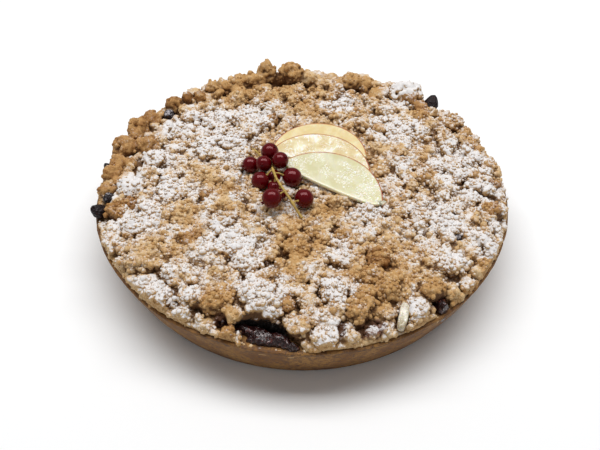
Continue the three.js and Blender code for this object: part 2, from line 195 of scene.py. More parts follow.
def random_turns(draw: np.random.Generator, count: int) -> Array:
    """Draws turns that favour no direction.

    Args:
        draw: Where the numbers come from.
        count: How many turns.

    Returns:
        One 3 by 3 matrix for each turn.
    """
    w, x, y, z = (q := draw.normal(size=(count, 4))).T / np.linalg.norm(q, axis=1)
    rows = [
        [1 - 2 * (y * y + z * z), 2 * (x * y - z * w), 2 * (x * z + y * w)],
        [2 * (x * y + z * w), 1 - 2 * (x * x + z * z), 2 * (y * z - x * w)],
        [2 * (x * z - y * w), 2 * (y * z + x * w), 1 - 2 * (x * x + y * y)],
    ]
    return np.moveaxis(np.array(rows), 2, 0)


def join(skins: Sequence[Skin]) -> Skin:
    """Puts several skins into one.

    Args:
        skins: Vertices and triangles of each.

    Returns:
        All vertices and all triangles.
    """
    offsets = np.cumsum([0] + [len(vertices) for vertices, _ in skins])
    faces = [faces + offset for (_, faces), offset in zip(skins, offsets)]
    return np.concatenate([vertices for vertices, _ in skins]), np.concatenate(faces)


def grid_faces(rows: int, columns: int, closed: bool) -> Array:
    """Joins rows of vertices with quads.

    Args:
        rows: How many rows of vertices.
        columns: How many vertices a row has.
        closed: Whether the last column joins the first.

    Returns:
        One row of four vertex numbers for each quad.
    """
    across = np.arange(columns if closed else columns - 1)
    down = np.arange(rows - 1)[:, None] * columns
    right = (across + 1) % columns
    below = down + columns
    return np.stack([down + across, down + right, below + right, below + across], axis=-1).reshape(-1, 4)


def outward(skin: Skin) -> Skin:
    """Turns a closed skin's triangles so that they face out."""
    vertices, faces = skin
    a, b, c = (vertices[faces[:, k]] for k in range(3))
    volume = np.einsum("ij,ij->i", a, np.cross(b, c)).sum()
    return (vertices, faces) if volume > 0 else (vertices, faces[:, ::-1])


def cap(rings: Array, first: Array, last: Array) -> Skin:
    """Makes a closed skin from rings of vertices and a point at either end.

    Args:
        rings: Rings, each with as many rows of x, y, z.
        first: The point before the first ring.
        last: The point after the last ring.

    Returns:
        Its vertices and its triangles, facing out.
    """
    rows, sides = rings.shape[:2]
    vertices = np.concatenate([[first], rings.reshape(-1, 3), [last]])
    quads = grid_faces(rows, sides, closed=True) + 1
    around = np.arange(sides)
    after = (around + 1) % sides
    end = len(vertices) - 1
    base = end - sides
    fans = [
        np.stack([np.zeros_like(around), 1 + after, 1 + around], axis=1),
        np.stack([np.full_like(around, end), base + around, base + after], axis=1),
    ]
    return outward((vertices, np.concatenate([quads[:, [0, 1, 2]], quads[:, [0, 2, 3]], *fans])))


def revolve(rings: Sequence[tuple[Array, Array]], sectors: int) -> Skin:
    """Makes a closed round body from rings that start and end on the axis.

    Args:
        rings: Radius and height of each ring, as one number or as one for each sector.
        sectors: How many vertices a ring has.

    Returns:
        Its vertices and its triangles, facing out.
    """
    angles = 2 * np.pi * np.arange(sectors) / sectors
    rows = []
    for ring in rings:
        radius, height = (np.broadcast_to(size, sectors) for size in ring)
        rows.append(np.stack([radius * np.cos(angles), radius * np.sin(angles), height], axis=1))
    return cap(np.array(rows[1:-1]), rows[0][0], rows[-1][0])


def turn_about_up(turn: float) -> Array:
    """Gives the matrix that turns rows of points about the upright axis."""
    cos, sin = math.cos(turn), math.sin(turn)
    return np.array([[cos, sin, 0], [-sin, cos, 0], [0, 0, 1]])


def make_mesh(name: str, vertices: Array, faces: Sequence[Array]) -> Mesh:
    """Makes a smooth-shaded mesh.

    Args:
        name: The mesh's name.
        vertices: Rows of x, y, z.
        faces: Blocks of faces, each block with its own number of corners.

    Returns:
        The mesh, in the unit of the vertices.
    """
    mesh = bpy.data.meshes.new(name)
    corners = np.concatenate([block.ravel() for block in faces])
    sides = np.concatenate([np.full(len(block), block.shape[1]) for block in faces])
    mesh.vertices.add(len(vertices))
    mesh.vertices.foreach_set("co", np.asarray(vertices, np.float32).ravel())
    mesh.loops.add(len(corners))
    mesh.loops.foreach_set("vertex_index", corners.astype(np.int32))
    mesh.polygons.add(len(sides))
    starts = np.concatenate([[0], np.cumsum(sides)[:-1]])
    mesh.polygons.foreach_set("loop_start", starts.astype(np.int32))
    mesh.polygons.foreach_set("use_smooth", np.ones(len(sides), bool))
    mesh.update(calc_edges=True)
    mesh.validate()
    return mesh


def read_mesh(mesh: Mesh) -> tuple[Array, Array]:
    """Reads where a mesh's vertices are and which way they face.

    Args:
        mesh: The mesh.

    Returns:
        Places and normals, one row for each vertex.
    """
    places = np.empty(len(mesh.vertices) * 3, np.float32)
    normals = np.empty(len(mesh.vertices) * 3, np.float32)
    mesh.vertices.foreach_get("co", places)
    mesh.vertex_normals.foreach_get("vector", normals)
    return places.reshape(-1, 3).astype(float), normals.reshape(-1, 3).astype(float)


def add_object(name: str, data: bpy.types.ID) -> Object:
    """Puts an object in the scene."""
    made = bpy.data.objects.new(name, data)
    bpy.context.scene.collection.objects.link(made)
    return made


def through_modifiers(mesh: Mesh, modifiers: dict[str, dict[str, object]]) -> Mesh:
    """Runs a mesh through modifiers and keeps only the result.

    Args:
        mesh: The mesh, which is used up.
        modifiers: Settings by kind of modifier, in order.

    Returns:
        The finished mesh.
    """
    holder = add_object(mesh.name, mesh)
    for kind, settings in modifiers.items():
        modifier = holder.modifiers.new(kind.lower(), kind)
        for key, value in settings.items():
            setattr(modifier, key, value)
    evaluated = holder.evaluated_get(bpy.context.evaluated_depsgraph_get())
    result = bpy.data.meshes.new_from_object(evaluated)
    name = mesh.name
    bpy.data.objects.remove(holder)
    bpy.data.meshes.remove(mesh)  # which frees its name
    result.name = name
    return result


def fuse(name: str, skin: Skin, voxel: float, budget: int) -> Mesh:
    """Melts overlapping closed bodies into one skin and thins it.

    Args:
        name: The mesh's name.
        skin: The bodies.
        voxel: Size of the finest detail that is kept.
        budget: How many triangles the result may have.

    Returns:
        The skin, in triangles.
    """
    vertices, faces = skin
    remesh = {"mode": "VOXEL", "voxel_size": voxel, "use_smooth_shade": True}
    fused = through_modifiers(make_mesh(name, vertices, [faces]), {"REMESH": remesh, "TRIANGULATE": {}})
    ratio = min(1.0, budget / len(fused.polygons))
    thinned = through_modifiers(fused, {"DECIMATE": {"ratio": ratio}})
    log.info("%s: %d triangles after thinning to %.2f", name, len(thinned.polygons), ratio)
    return thinned


def set_attribute(mesh: Mesh, name: str, values: Array) -> None:
    """Writes one number for each vertex, for the shaders to read.

    Args:
        mesh: The mesh.
        name: The attribute's name.
        values: The numbers.
    """
    attribute = mesh.attributes.new(name, "FLOAT", "POINT")
    attribute.data.foreach_set("value", np.asarray(values, np.float32))


def make_piece(
    mesh: Mesh, materials: Sequence[bpy.types.Material], replaced: Sequence[str] = ()
) -> Object:
    """Puts a finished mesh in the scene as a piece of the tart.

    Args:
        mesh: The mesh in millimetres, whose name the piece takes.
        materials: Its finishes.
        replaced: CAD nodes that it stands for.

    Returns:
        The piece.
    """
    mesh.transform(Matrix.Scale(MM, 4))
    mesh.materials.clear()
    for material in materials:
        mesh.materials.append(material)
    piece = add_object(mesh.name, mesh)
    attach(piece, BODY)
    if replaced:
        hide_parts(*replaced)
    triangles = sum(len(polygon.vertices) - 2 for polygon in mesh.polygons)
    log.info("piece %s: %d triangles", piece.name, triangles)
    return piece


# ---------------- the tart's form


@dataclass(frozen=True)
class TartForm:
    """The sizes that the layers share, and the shapes that follow from them."""

    rim_radius: float = 120
    base_radius: float = 107.5
    height: float = 32
    floor: float = 5
    wall: float = 6
    belly: float = 0.9
    wobble: float = 0.5
    filling_top: float = 26
    crumble_top: float = 38.2
    relief: float = 0.8
    edge_top: float = 35
    edge_inset: float = 1.2
    dip_azimuth: float = math.radians(84)
    dip_half_width: float = math.radians(15)
    dip_drop: float = 3
    dip_inset: float = 2
    pressed_centre: tuple[float, float] = (5, 6)
    pressed_reach: float = 50
    pressed_depth: float = 0.9

    def wander(self, angle: Array, turns: int, shift: float) -> Array:
        """How far the baked wall strays at an angle."""
        return self.wobble * np.sin(turns * angle + shift)

    def dip(self, angle: Array) -> Array:
        """How deep in the low place at the back an angle is, from 0 to 1."""
        away = np.abs((angle - self.dip_azimuth + np.pi) % (2 * np.pi) - np.pi)
        return 1 - smooth_step(away, 0.3 * self.dip_half_width, self.dip_half_width)

    def rim_height(self, angle: Array) -> Array:
        """Height of the pastry rim at an angle."""
        uneven = self.wander(angle, 7, 1) * 0.6 + self.wander(angle, 13, 2) * 0.4 - self.wobble
        return self.height + uneven - self.dip_drop * self.dip(angle)

    def outer_radius(self, share: Array, angle: Array) -> Array:
        """Radius of the wall's outside at a share of its height."""
        straight = self.base_radius + (self.rim_radius - self.base_radius) * share
        belly = self.belly * np.sin(np.pi * share)
        uneven = self.wander(angle, 4, 0.5) * 0.5 + self.wander(angle, 9, 3) * 0.3
        return straight + belly + share * (uneven - self.dip_inset * self.dip(angle))

    def inner_radius(self, z: Array) -> Array:
        """Radius of the wall's inside at a height."""
        lean = (self.rim_radius - self.base_radius) / self.height
        return self.base_radius + lean * z - self.wall - self.dip_inset

    def edge_radius(self, angle: Array) -> Array:
        """Radius that the crumble was pressed out to by the tin."""
        return self.outer_radius(1, angle) - self.edge_inset

    def inward(self, x: Array, y: Array) -> Array:
        """How far in from the crumble's edge a place is."""
        return self.edge_radius(np.arctan2(y, x)) - np.hypot(x, y)

    def ripple(self, x: Array, y: Array, scale: float, shift: float = 0) -> Array:
        """A smooth uneven wave from about -1 to 1 over the plan."""
        u, v = x / scale, y / scale
        slow = np.sin(1.7 * u + 0.9 * v + shift) + np.sin(1.9 * v - 1.1 * u + 2.3 * shift + 1)
        quick = np.sin(3.1 * u - 2.3 * v + 1.7 * shift + 2) + np.sin(2.7 * v + 3.7 * u - shift)
        return (slow + 0.6 * quick) / 3.2

    def free(self, x: Array, y: Array) -> Array:
        """From 0 under the slices and the sprig to 1 clear of them."""
        across, deep = self.pressed_centre
        reach = np.hypot((x - across) / self.pressed_reach, (y - deep) / self.pressed_reach)
        return smooth_step(reach, 0.8, 1.1)

    def bed_height(self, x: Array, y: Array) -> Array:
        """Height of the bed of fine crumbs, without its lumps."""
        edge = smooth_step(np.hypot(x, y), 102, 118.5)
        fall = self.crumble_top - self.edge_top + self.dip_drop * self.dip(np.arctan2(y, x))
        free = self.free(x, y)
        swell = self.relief * free * self.ripple(x, y, 30)
        return self.crumble_top - self.pressed_depth * (1 - free) + swell - fall * edge


FORM = TartForm()


def turned(x: Array, y: Array, turn: float) -> tuple[Array, Array]:
    """Measures distances across and in depth along axes that are turned."""
    cos, sin = math.cos(turn), math.sin(turn)
    return x * cos + y * sin, y * cos - x * sin


@dataclass(frozen=True)
class Hollow:
    """A round place that the crumble leaves free: an opening, a well of jam or a berry's seat."""

    x: float
    y: float
    floor: float
    half_width: float
    half_depth: float
    turn: float = 0

    def reach(self, x: Array, y: Array) -> Array:
        """Distance from the middle, with 1 at the hollow's edge."""
        across, deep = turned(x - self.x, y - self.y, self.turn)
        return np.hypot(across / self.half_width, deep / self.half_depth)


@dataclass(frozen=True)
class JamWell:
    """Jam that has welled up through the crumble."""

    x: float
    y: float
    top: float
    half_width: float
    half_depth: float
    turn: float
    buried: bool = False

    def hollow(self) -> Hollow:
        """The place that it takes in the crumble, with some room round it."""
        reach = self.half_width + 0.8, self.half_depth + 0.8
        return Hollow(self.x, self.y, FORM.filling_top + 1, *reach, math.radians(self.turn))


JAM_WELLS = (
    JamWell(-29, -105, 33.5, 8, 4, -18, True),
    JamWell(-20, -109, 34.5, 8, 4.5, -22),
    JamWell(-20, -113, 33.4, 9, 2.9, -12),
    JamWell(-11, -112.5, 35.2, 7, 4, -25),
    JamWell(-4.5, -116.5, 34.6, 4.5, 2.8, -20),
    JamWell(70.5, -92.8, 37.5, 3.6, 6, 36),
    JamWell(34, -108, 34.5, 6, 2.6, 15, True),
    JamWell(-38.5, -104.5, 36, 2.6, 2.2, 0),
)
JAM_CAVE = Hollow(-21, -107.6, 27, 12, 4.2, math.radians(-12))
CAVE_MIDDLE = 33.4
CAVE_HALF_HEIGHT = 4.8

# Crumbs that soaked up jam.
STAINS = (
    Hollow(34, -108, 0, 9, 5, math.radians(15)),
    Hollow(20, -109, 0, 6, 4),
    Hollow(-40, -103, 0, 4, 3.5),
    Hollow(70.5, -92.8, 0, 4.5, 6.5, math.radians(36)),
    Hollow(-21, -109, 0, 13, 4.6, math.radians(-14)),
)


@dataclass(frozen=True)
class DarkBerry:
    """A baked dark berry: its middle and radius, its drawn-out tip, and how much sugar lies on it."""

    node: str
    x: float
    y: float
    z: float
    radius: float
    tip: float
    lean: float
    sugar: float

    def hollow(self) -> Hollow:
        """The seat that it takes in the crumble."""
        reach = self.radius + 0.6
        return Hollow(self.x, self.y, self.z - self.radius - 0.5, reach, reach)


DARK_BERRIES = (
    DarkBerry("dark_berry_left_outer", -114.3, -26.4, 36.5, 4.2, 0.4, 200, 0.2),
    DarkBerry("dark_berry_left_inner", -110.4, -17.6, 38, 3.3, 0.2, 100, 0.5),
    DarkBerry("dark_berry_left_far", -116.8, 12.3, 36.5, 2.3, 0.3, 160, 0.1),
    DarkBerry("dark_berry_back_left", -86.2, 63, 37.5, 3.8, 0.1, 120, 0.75),
    DarkBerry("dark_berry_back_right", 84.6, 76.6, 37.5, 4.8, 0.5, 60, 0.05),
    DarkBerry("dark_berry_right", 83.8, -47.7, 37.8, 2.4, 0.3, 40, 0.6),
)

STUB_SEAT = Hollow(50, -101, 33.4, 8.3, 3.3, math.radians(-17 - 90))


@dataclass(frozen=True)
class SliceForm:
    """A half-moon slice of apple, and how it lies."""

    node: str
    x: float
    y: float
    z: float
    turn: float
    half: float
    depth: float
    bulge: float
    tilt: float
    roll: float
    tip_round: float = 2.5
    thickness: float = 2.4

    @property
    def radius(self) -> float:
        """Radius of its round edge."""
        return (self.half**2 + self.depth**2) / (2 * self.depth)

    def matrix(self) -> Matrix:
        """How the slice is turned and placed."""
        matrix = Matrix.Translation((self.x, self.y, self.z))
        for angle, axis in ((self.turn, "Z"), (self.tilt, "X"), (self.roll, "Y")):
            matrix = matrix @ Matrix.Rotation(math.radians(angle), 4, axis)
        return matrix

    def local(self, x: Array, y: Array) -> tuple[Array, Array]:
        """Distances from the slice's middle, along its cut edge and behind it."""
        return turned(x - self.x, y - self.y, math.radians(self.turn))

    def underside(self, x: Array, y: Array) -> Array:
        """Works out where the slice's underside is.

        Args:
            x: Places across.
            y: Places in depth.

        Returns:
            Heights, or infinity beside the slice.
        """
        normal = self.matrix().to_3x3() @ Vector((0, 0, 1))
        height = self.z - (normal.x * (x - self.x) + normal.y * (y - self.y)) / normal.z
        across, deep = self.local(x, y)
        middle = self.depth - self.radius
        chord = -self.bulge * (1 - (across / self.half) ** 2)
        inside = (deep > chord - 0.8) & (np.hypot(across, deep - middle) < self.radius + 1)
        return np.where(inside, height, np.inf)


SLICES = (
    SliceForm("apple_slice_back", 9.9, 21.45, 38.4, -6.6, 29, 26.85, -0.6, 6, 0),
    SliceForm("apple_slice_middle", 9.8, 9.75, 39.65, -18.5, 31.7, 25.15, -0.6, 8, 1.5),
    SliceForm("apple_slice_front", 15.7, -9.25, 40.2, -31.6, 33.95, 24.6, 2.1, 8, 2.5, 8),
)


@dataclass(frozen=True)
class Currant:
    """A redcurrant: its middle, its radius and where on the stem its stalk starts."""

    x: float
    y: float
    z: float
    radius: float
    share: float

    @property
    def centre(self) -> Array:
        """Its middle."""
        return np.array([self.x, self.y, self.z])

    def underside(self, x: Array, y: Array) -> Array:
        """Height of its lower half, or infinity beside it."""
        away = np.hypot(x - self.x, y - self.y)
        depth = np.sqrt(np.clip(self.radius**2 - away**2, 0, None))
        return np.where(away < self.radius + 0.3, self.z - depth, np.inf)


CURRANTS = (
    Currant(-19.5, 15.1, 46.7, 5.35, 0.18),
    Currant(-30.8, 8.3, 42.4, 4.9, 0.23),
    Currant(-22.6, 4.3, 46.5, 4.85, 0.26),
    Currant(-13, 4.6, 48.9, 4.95, 0.32),
    Currant(-24.3, -6.7, 42.9, 5.3, 0.48),
    Currant(-6, -4.7, 43.9, 5.8, 0.52),
    Currant(-17, -26.2, 47.2, 5.65, 0.76),
    Currant(0.9, -21.8, 43.2, 5.5, 0.87),
    Currant(-16.1, -11.4, 42, 4, 0.57),
    Currant(-12.6, -18.4, 43.6, 3.8, 0.68),
    Currant(-16.6, -1.2, 41.75, 4, 0.49),
)

# The stem from its tip at the back to its cut end at the front.
STEM_POINTS = np.array((
    (-30.9, 27.3, 39.3), (-28.7, 24.9, 39.6), (-26.7, 21.6, 40), (-24.8, 17.7, 40.5), (-22.5, 13.4, 41.2),
    (-20.5, 10.1, 41.8), (-18.4, 7, 42.8), (-17.1, 3.7, 44.2), (-17.5, -0.6, 47.4), (-16.2, -6.3, 48.5),
    (-14.8, -11.9, 49.4), (-11.3, -20.1, 49.7), (-8.3, -25, 48.5), (-5.3, -29.1, 46), (-2.8, -31.9, 43),
    (-0.2, -34.8, 40.4),
))  # fmt: skip


# ---------------- shader nodes


class Canvas:
    """Adds nodes to a shader tree and joins them."""

    def __init__(self, tree: bpy.types.NodeTree) -> None:
        """Takes the tree to draw on."""
        self.tree = tree

    def add(self, kind: str, values: Values | None = None, **settings: object) -> Node:
        """Adds one node.

        Args:
            kind: The node's type.
            values: What each input holds.
            settings: The node's own options.

        Returns:
            The node.
        """
        node = self.tree.nodes.new(kind)
        for key, value in settings.items():
            setattr(node, key, value)
        self.fill(node, values or {})
        return node

    def fill(self, node: Node, values: Values) -> None:
        """Sets a node's inputs.

        Args:
            node: The node.
            values: What each input holds: a plain value, a colour, or the socket that feeds it.
        """
        for key, value in values.items():
            socket = node.inputs[key]
            if isinstance(value, Socket):
                self.tree.links.new(value, socket)
            else:
                socket.default_value = (*value, 1) if socket.type == "RGBA" else value

    def math(self, operation: str, first: object, second: object = 0.0, clamp: bool = False) -> Socket:
        """Works out one number from two."""
        node = self.add("ShaderNodeMath", {0: first, 1: second}, operation=operation, use_clamp=clamp)
        return node.outputs[0]

    def blend(self, first: Socket, share: float, second: Socket) -> Socket:
        """Adds a share of one number to the rest of another."""
        rest = self.math("MULTIPLY", second, 1 - share)
        return self.math("ADD", self.math("MULTIPLY", first, share), rest)

    def mix(self, factor: object, first: object, second: object) -> Socket:
        """Mixes two colours."""
        values = {0: factor, 6: first, 7: second}
        return self.add("ShaderNodeMix", values, data_type="RGBA", clamp_factor=True).outputs[2]

    def noise(self, vector: object, size: float, detail: float = 2, roughness: float = 0.5) -> Socket:
        """Gives noise whose swells are about a size in millimetres."""
        values = {"Vector": vector, "Scale": 1 / (size * MM), "Detail": detail, "Roughness": roughness}
        return self.add("ShaderNodeTexNoise", values).outputs["Fac"]

    def ramp(self, value: object, low: float, high: float, start: float = 0, end: float = 1) -> Socket:
        """Maps a range of a value softly onto another."""
        values = {"Value": value, "From Min": low, "From Max": high, "To Min": start, "To Max": end}
        return self.add("ShaderNodeMapRange", values, interpolation_type="SMOOTHSTEP").outputs["Result"]

    def attribute(self, name: str) -> Socket:
        """Reads a number that the mesh carries."""
        return self.add("ShaderNodeAttribute", attribute_name=name).outputs["Fac"]

    def place(self) -> Socket:
        """Gives the place on the piece, in metres."""
        return self.add("ShaderNodeTexCoord").outputs["Object"]

    def bump(self, height: object, distance: float, strength: float) -> Socket:
        """Turns a height into a normal, for relief of a depth in millimetres."""
        values = {"Height": height, "Distance": distance * MM, "Strength": strength}
        return self.add("ShaderNodeBump", values).outputs["Normal"]

    def grain(self, place: Socket, coarse: float, fine: float) -> tuple[Socket, Socket]:
        """Places the dough's grain.

        Args:
            place: Feeds the place.
            coarse: Size of the large grains.
            fine: Size of the small grains.

        Returns:
            The shade and the height.
        """
        values = {"Place": place, "Coarse": 1 / (coarse * MM), "Fine": 1 / (fine * MM)}
        node = self.add("ShaderNodeGroup", values, node_tree=dough_grain())
        return node.outputs["Shade"], node.outputs["Height"]

    def sugar_mask(self, place: Socket, spread: float) -> Socket:
        """Places the icing sugar, in the amount that the mesh carries and with a ragged edge."""
        values = {"Place": place, "Amount": self.attribute("sugar"), "Spread": spread}
        return self.add("ShaderNodeGroup", values, node_tree=sugar_dusting()).outputs["Mask"]


def open_group(name: str, given: Sequence[str], made: Sequence[str]) -> tuple[Canvas, Node, Node]:
    """Starts a shader group that works on a place.

    Args:
        name: The group's name.
        given: Names of its inputs after Place, all numbers.
        made: Names of its outputs, all numbers.

    Returns:
        The canvas, the group's input node and its output node.
    """
    tree = bpy.data.node_groups.new(name, "ShaderNodeTree")
    tree.interface.new_socket("Place", in_out="INPUT", socket_type="NodeSocketVector")
    for label in given:
        tree.interface.new_socket(label, in_out="INPUT", socket_type="NodeSocketFloat")
    for label in made:
        tree.interface.new_socket(label, in_out="OUTPUT", socket_type="NodeSocketFloat")
    canvas = Canvas(tree)
    return canvas, canvas.add("NodeGroupInput"), canvas.add("NodeGroupOutput")


@cache
def dough_grain() -> bpy.types.NodeTree:
    """Builds the sandy grain of baked dough, once.

    Returns:
        A group that gives a shade around 0.5 and a height, from the place and two scales of grain.
    """
    canvas, given, out = open_group("dough_grain", ("Coarse", "Fine"), ("Shade", "Height"))
    shades = []
    for label in ("Coarse", "Fine"):
        values = {"Vector": given.outputs["Place"], "Scale": given.outputs[label], "Detail": 3}
        shades.append(canvas.add("ShaderNodeTexNoise", values).outputs["Fac"])
    coarse, fine = shades
    canvas.fill(out, {"Shade": canvas.blend(coarse, 0.5, fine), "Height": canvas.blend(coarse, 0.35, fine)})
    return canvas.tree


@cache
def sugar_dusting() -> bpy.types.NodeTree:
    """Builds the icing sugar that lies in specks and drifts, once.

    Returns:
        A group that gives a mask from the place and the amount, with Spread for how ragged its edge is.
    """
    canvas, given, out = open_group("sugar_dusting", ("Amount", "Spread"), ("Mask",))
    place = given.outputs["Place"]
    ragged = canvas.blend(canvas.noise(place, 0.7, detail=2), 0.55, canvas.noise(place, 2.8, detail=1))
    pushed = canvas.math("MULTIPLY", canvas.math("SUBTRACT", ragged, 0.5), given.outputs["Spread"])
    level = canvas.math("ADD", given.outputs["Amount"], pushed)
    canvas.fill(out, {"Mask": canvas.ramp(level, 0.27, 0.75)})
    return canvas.tree


# ---------------- finishes


@dataclass(frozen=True)
class Finish:
    """What a piece is made of. Each kind says what feeds its shader."""

    name: str

    def inputs(self, canvas: Canvas) -> Values:
        """Draws the nodes and says what each of the shader's inputs holds."""
        raise NotImplementedError

    def material(self) -> bpy.types.Material:
        """Builds the material.

        Returns:
            The material.
        """
        material = bpy.data.materials.new(self.name)
        material.use_nodes = True
        material.node_tree.nodes.clear()
        canvas = Canvas(material.node_tree)
        shader = canvas.add("ShaderNodeBsdfPrincipled")
        canvas.add("ShaderNodeOutputMaterial", {"Surface": shader.outputs["BSDF"]})
        canvas.fill(shader, self.inputs(canvas))
        return material


@dataclass(frozen=True)
class CrumbleFinish(Finish):
    """Baked crumble: pale to golden dough under icing sugar, with painted shade in its crevices and a
    painted shadow in the cave over the jam.
    """

    name: str = "baked_crumble"
    pale: Colour = srgb(218, 186, 138)
    golden: Colour = srgb(192, 148, 90)
    brown: Colour = srgb(148, 99, 46)
    # Painted shade: the next two colours darken crumbs that see little sky, and paint the cave over the jam
    # near black.
    crevice_shade: Colour = srgb(92, 54, 20)
    painted_cave_shadow: Colour = srgb(22, 12, 8)
    stain: Colour = srgb(96, 50, 46)
    sugar: Colour = srgb(234, 231, 230)
    roughness: float = 0.75
    sugar_roughness: float = 0.95
    coarse_grain: float = 2.4
    fine_grain: float = 0.6
    relief: float = 0.45

    def inputs(self, canvas: Canvas) -> Values:
        """Draws the nodes.

        Args:
            canvas: Takes the nodes.

        Returns:
            What the shader's inputs hold.
        """
        place = canvas.place()
        shade, height = canvas.grain(place, self.coarse_grain, self.fine_grain)
        shift = canvas.ramp(shade, 0.3, 0.7, -0.28, 0.28)
        tone = canvas.math("ADD", canvas.attribute("brown"), shift, clamp=True)
        light = canvas.mix(canvas.ramp(tone, 0, 0.5), self.pale, self.golden)
        dough = canvas.mix(canvas.ramp(tone, 0.5, 1), light, self.brown)
        dough = canvas.mix(canvas.ramp(canvas.attribute("stain"), 0.1, 0.9, 0, 0.85), dough, self.stain)
        # Painted shade: the hollow mark darkens crevices, and above 1 it paints the cave over the jam near
        # black.
        hollow = canvas.attribute("hollow")
        dough = canvas.mix(canvas.ramp(hollow, 0.05, 0.9, 0, 0.9), dough, self.crevice_shade)
        dough = canvas.mix(canvas.ramp(hollow, 1.0, 1.7), dough, self.painted_cave_shadow)
        mask = canvas.sugar_mask(place, 1.5)
        heaped = canvas.math("ADD", height, canvas.math("MULTIPLY", mask, 0.15))
        return {
            "Base Color": canvas.mix(mask, dough, self.sugar),
            "Roughness": canvas.ramp(mask, 0, 1, self.roughness, self.sugar_roughness),
            "Normal": canvas.bump(heaped, self.relief, 0.9),
        }


@dataclass(frozen=True)
class PastryFinish(Finish):
    """Shortcrust that baked against the tin: smooth, sandy, golden brown, darker in patches, with painted
    shade towards its foot.
    """

    name: str = "shortcrust"
    pale: Colour = srgb(158, 114, 56)
    brown: Colour = srgb(122, 80, 32)
    scorch_and_foot_shade: Colour = srgb(82, 48, 16)
    crack: Colour = srgb(40, 22, 12)
    crack_height: float = 29.4
    crack_wander: float = 3.9
    crack_width: float = 0.75
    roughness: float = 0.7
    blotch: float = 14
    coarse_grain: float = 2.2
    fine_grain: float = 0.6
    relief: float = 0.25

    def inputs(self, canvas: Canvas) -> Values:
        """Draws the nodes.

        Args:
            canvas: Takes the nodes.

        Returns:
            What the shader's inputs hold.
        """
        place = canvas.place()
        shade, height = canvas.grain(place, self.coarse_grain, self.fine_grain)
        blotches = canvas.ramp(canvas.noise(place, self.blotch, detail=3), 0.35, 0.7)
        specks = canvas.ramp(shade, 0.36, 0.6)
        colour = canvas.mix(blotches, self.pale, self.brown)
        colour = canvas.mix(canvas.math("SUBTRACT", 1.0, specks), colour, self.scorch_and_foot_shade)
        # The baked mark browns the rim and paints shade on the wall near its foot.
        colour = canvas.mix(canvas.attribute("baked"), colour, self.scorch_and_foot_shade)
        return {
            "Base Color": canvas.mix(self.crack_mask(canvas, place), colour, self.crack),
            "Roughness": canvas.ramp(shade, 0.3, 0.7, self.roughness - 0.1, self.roughness + 0.15),
            "Normal": canvas.bump(height, self.relief, 0.8),
        }

    def crack_mask(self, canvas: Canvas, place: Socket) -> Socket:
        """Draws the broken crack that runs round the wall under the rim.

        Args:
            canvas: Takes the nodes.
            place: Feeds the place.

        Returns:
            The mask.
        """
        height = canvas.add("ShaderNodeSeparateXYZ", {0: place}).outputs["Z"]
        swing = canvas.math("SUBTRACT", canvas.noise(place, 7, detail=3), 0.5)
        stray = canvas.math("MULTIPLY", swing, self.crack_wander * MM)
        middle = canvas.math("ADD", stray, self.crack_height * MM)
        away = canvas.math("ABSOLUTE", canvas.math("SUBTRACT", height, middle))
        line = canvas.ramp(away, 0, self.crack_width * MM, 1, 0)
        return canvas.math("MULTIPLY", line, canvas.ramp(canvas.noise(place, 10), 0.4, 0.54, 0, 0.85))


@dataclass(frozen=True)
class JamFinish(Finish):
    """Baked berry jam: near-black purple with a syrupy gloss and a little icing sugar."""

    name: str = "berry_jam"
    deep: Colour = srgb(38, 18, 18)
    thin: Colour = srgb(104, 44, 34)
    sugar: Colour = srgb(222, 210, 212)
    roughness: float = 0.16
    wrinkle: float = 1.6
    relief: float = 1.0

    def inputs(self, canvas: Canvas) -> Values:
        """Draws the nodes.

        Args:
            canvas: Takes the nodes.

        Returns:
            What the shader's inputs hold.
        """
        place = canvas.place()
        wrinkles = canvas.noise(place, self.wrinkle, detail=3, roughness=0.6)
        mask = canvas.sugar_mask(place, 1.9)
        syrup = canvas.mix(canvas.ramp(wrinkles, 0.5, 0.75), self.deep, self.thin)
        return {
            "Base Color": canvas.mix(mask, syrup, self.sugar),
            "Roughness": canvas.ramp(mask, 0, 1, self.roughness, 0.9),
            "Normal": canvas.bump(wrinkles, self.relief, 0.8),
            "Specular IOR Level": 0.35,
            "Coat Weight": canvas.ramp(wrinkles, 0.42, 0.62, 0, 0.95),
            "Coat Roughness": 0.05,
        }


@dataclass(frozen=True)
class DarkBerryFinish(Finish):
    """Baked dark berries: shrivelled blue-black skin with a dull gloss."""

    name: str = "baked_berry"
    skin: Colour = srgb(26, 15, 17)
    burst: Colour = srgb(84, 40, 34)
    sugar: Colour = srgb(208, 204, 210)
    roughness: float = 0.3
    wrinkle: float = 1.3

    def inputs(self, canvas: Canvas) -> Values:
        """Draws the nodes.

        Args:
            canvas: Takes the nodes.

        Returns:
            What the shader's inputs hold.
        """
        place = canvas.place()
        wrinkles = canvas.noise(place, self.wrinkle, detail=4, roughness=0.65)
        mask = canvas.sugar_mask(place, 1.9)
        skin = canvas.mix(canvas.ramp(wrinkles, 0.55, 0.75), self.skin, self.burst)
        return {
            "Base Color": canvas.mix(mask, skin, self.sugar),
            "Roughness": canvas.ramp(wrinkles, 0.35, 0.7, self.roughness - 0.12, self.roughness + 0.25),
            "Specular IOR Level": 0.22,
            "Normal": canvas.bump(wrinkles, 0.8, 0.8),
        }


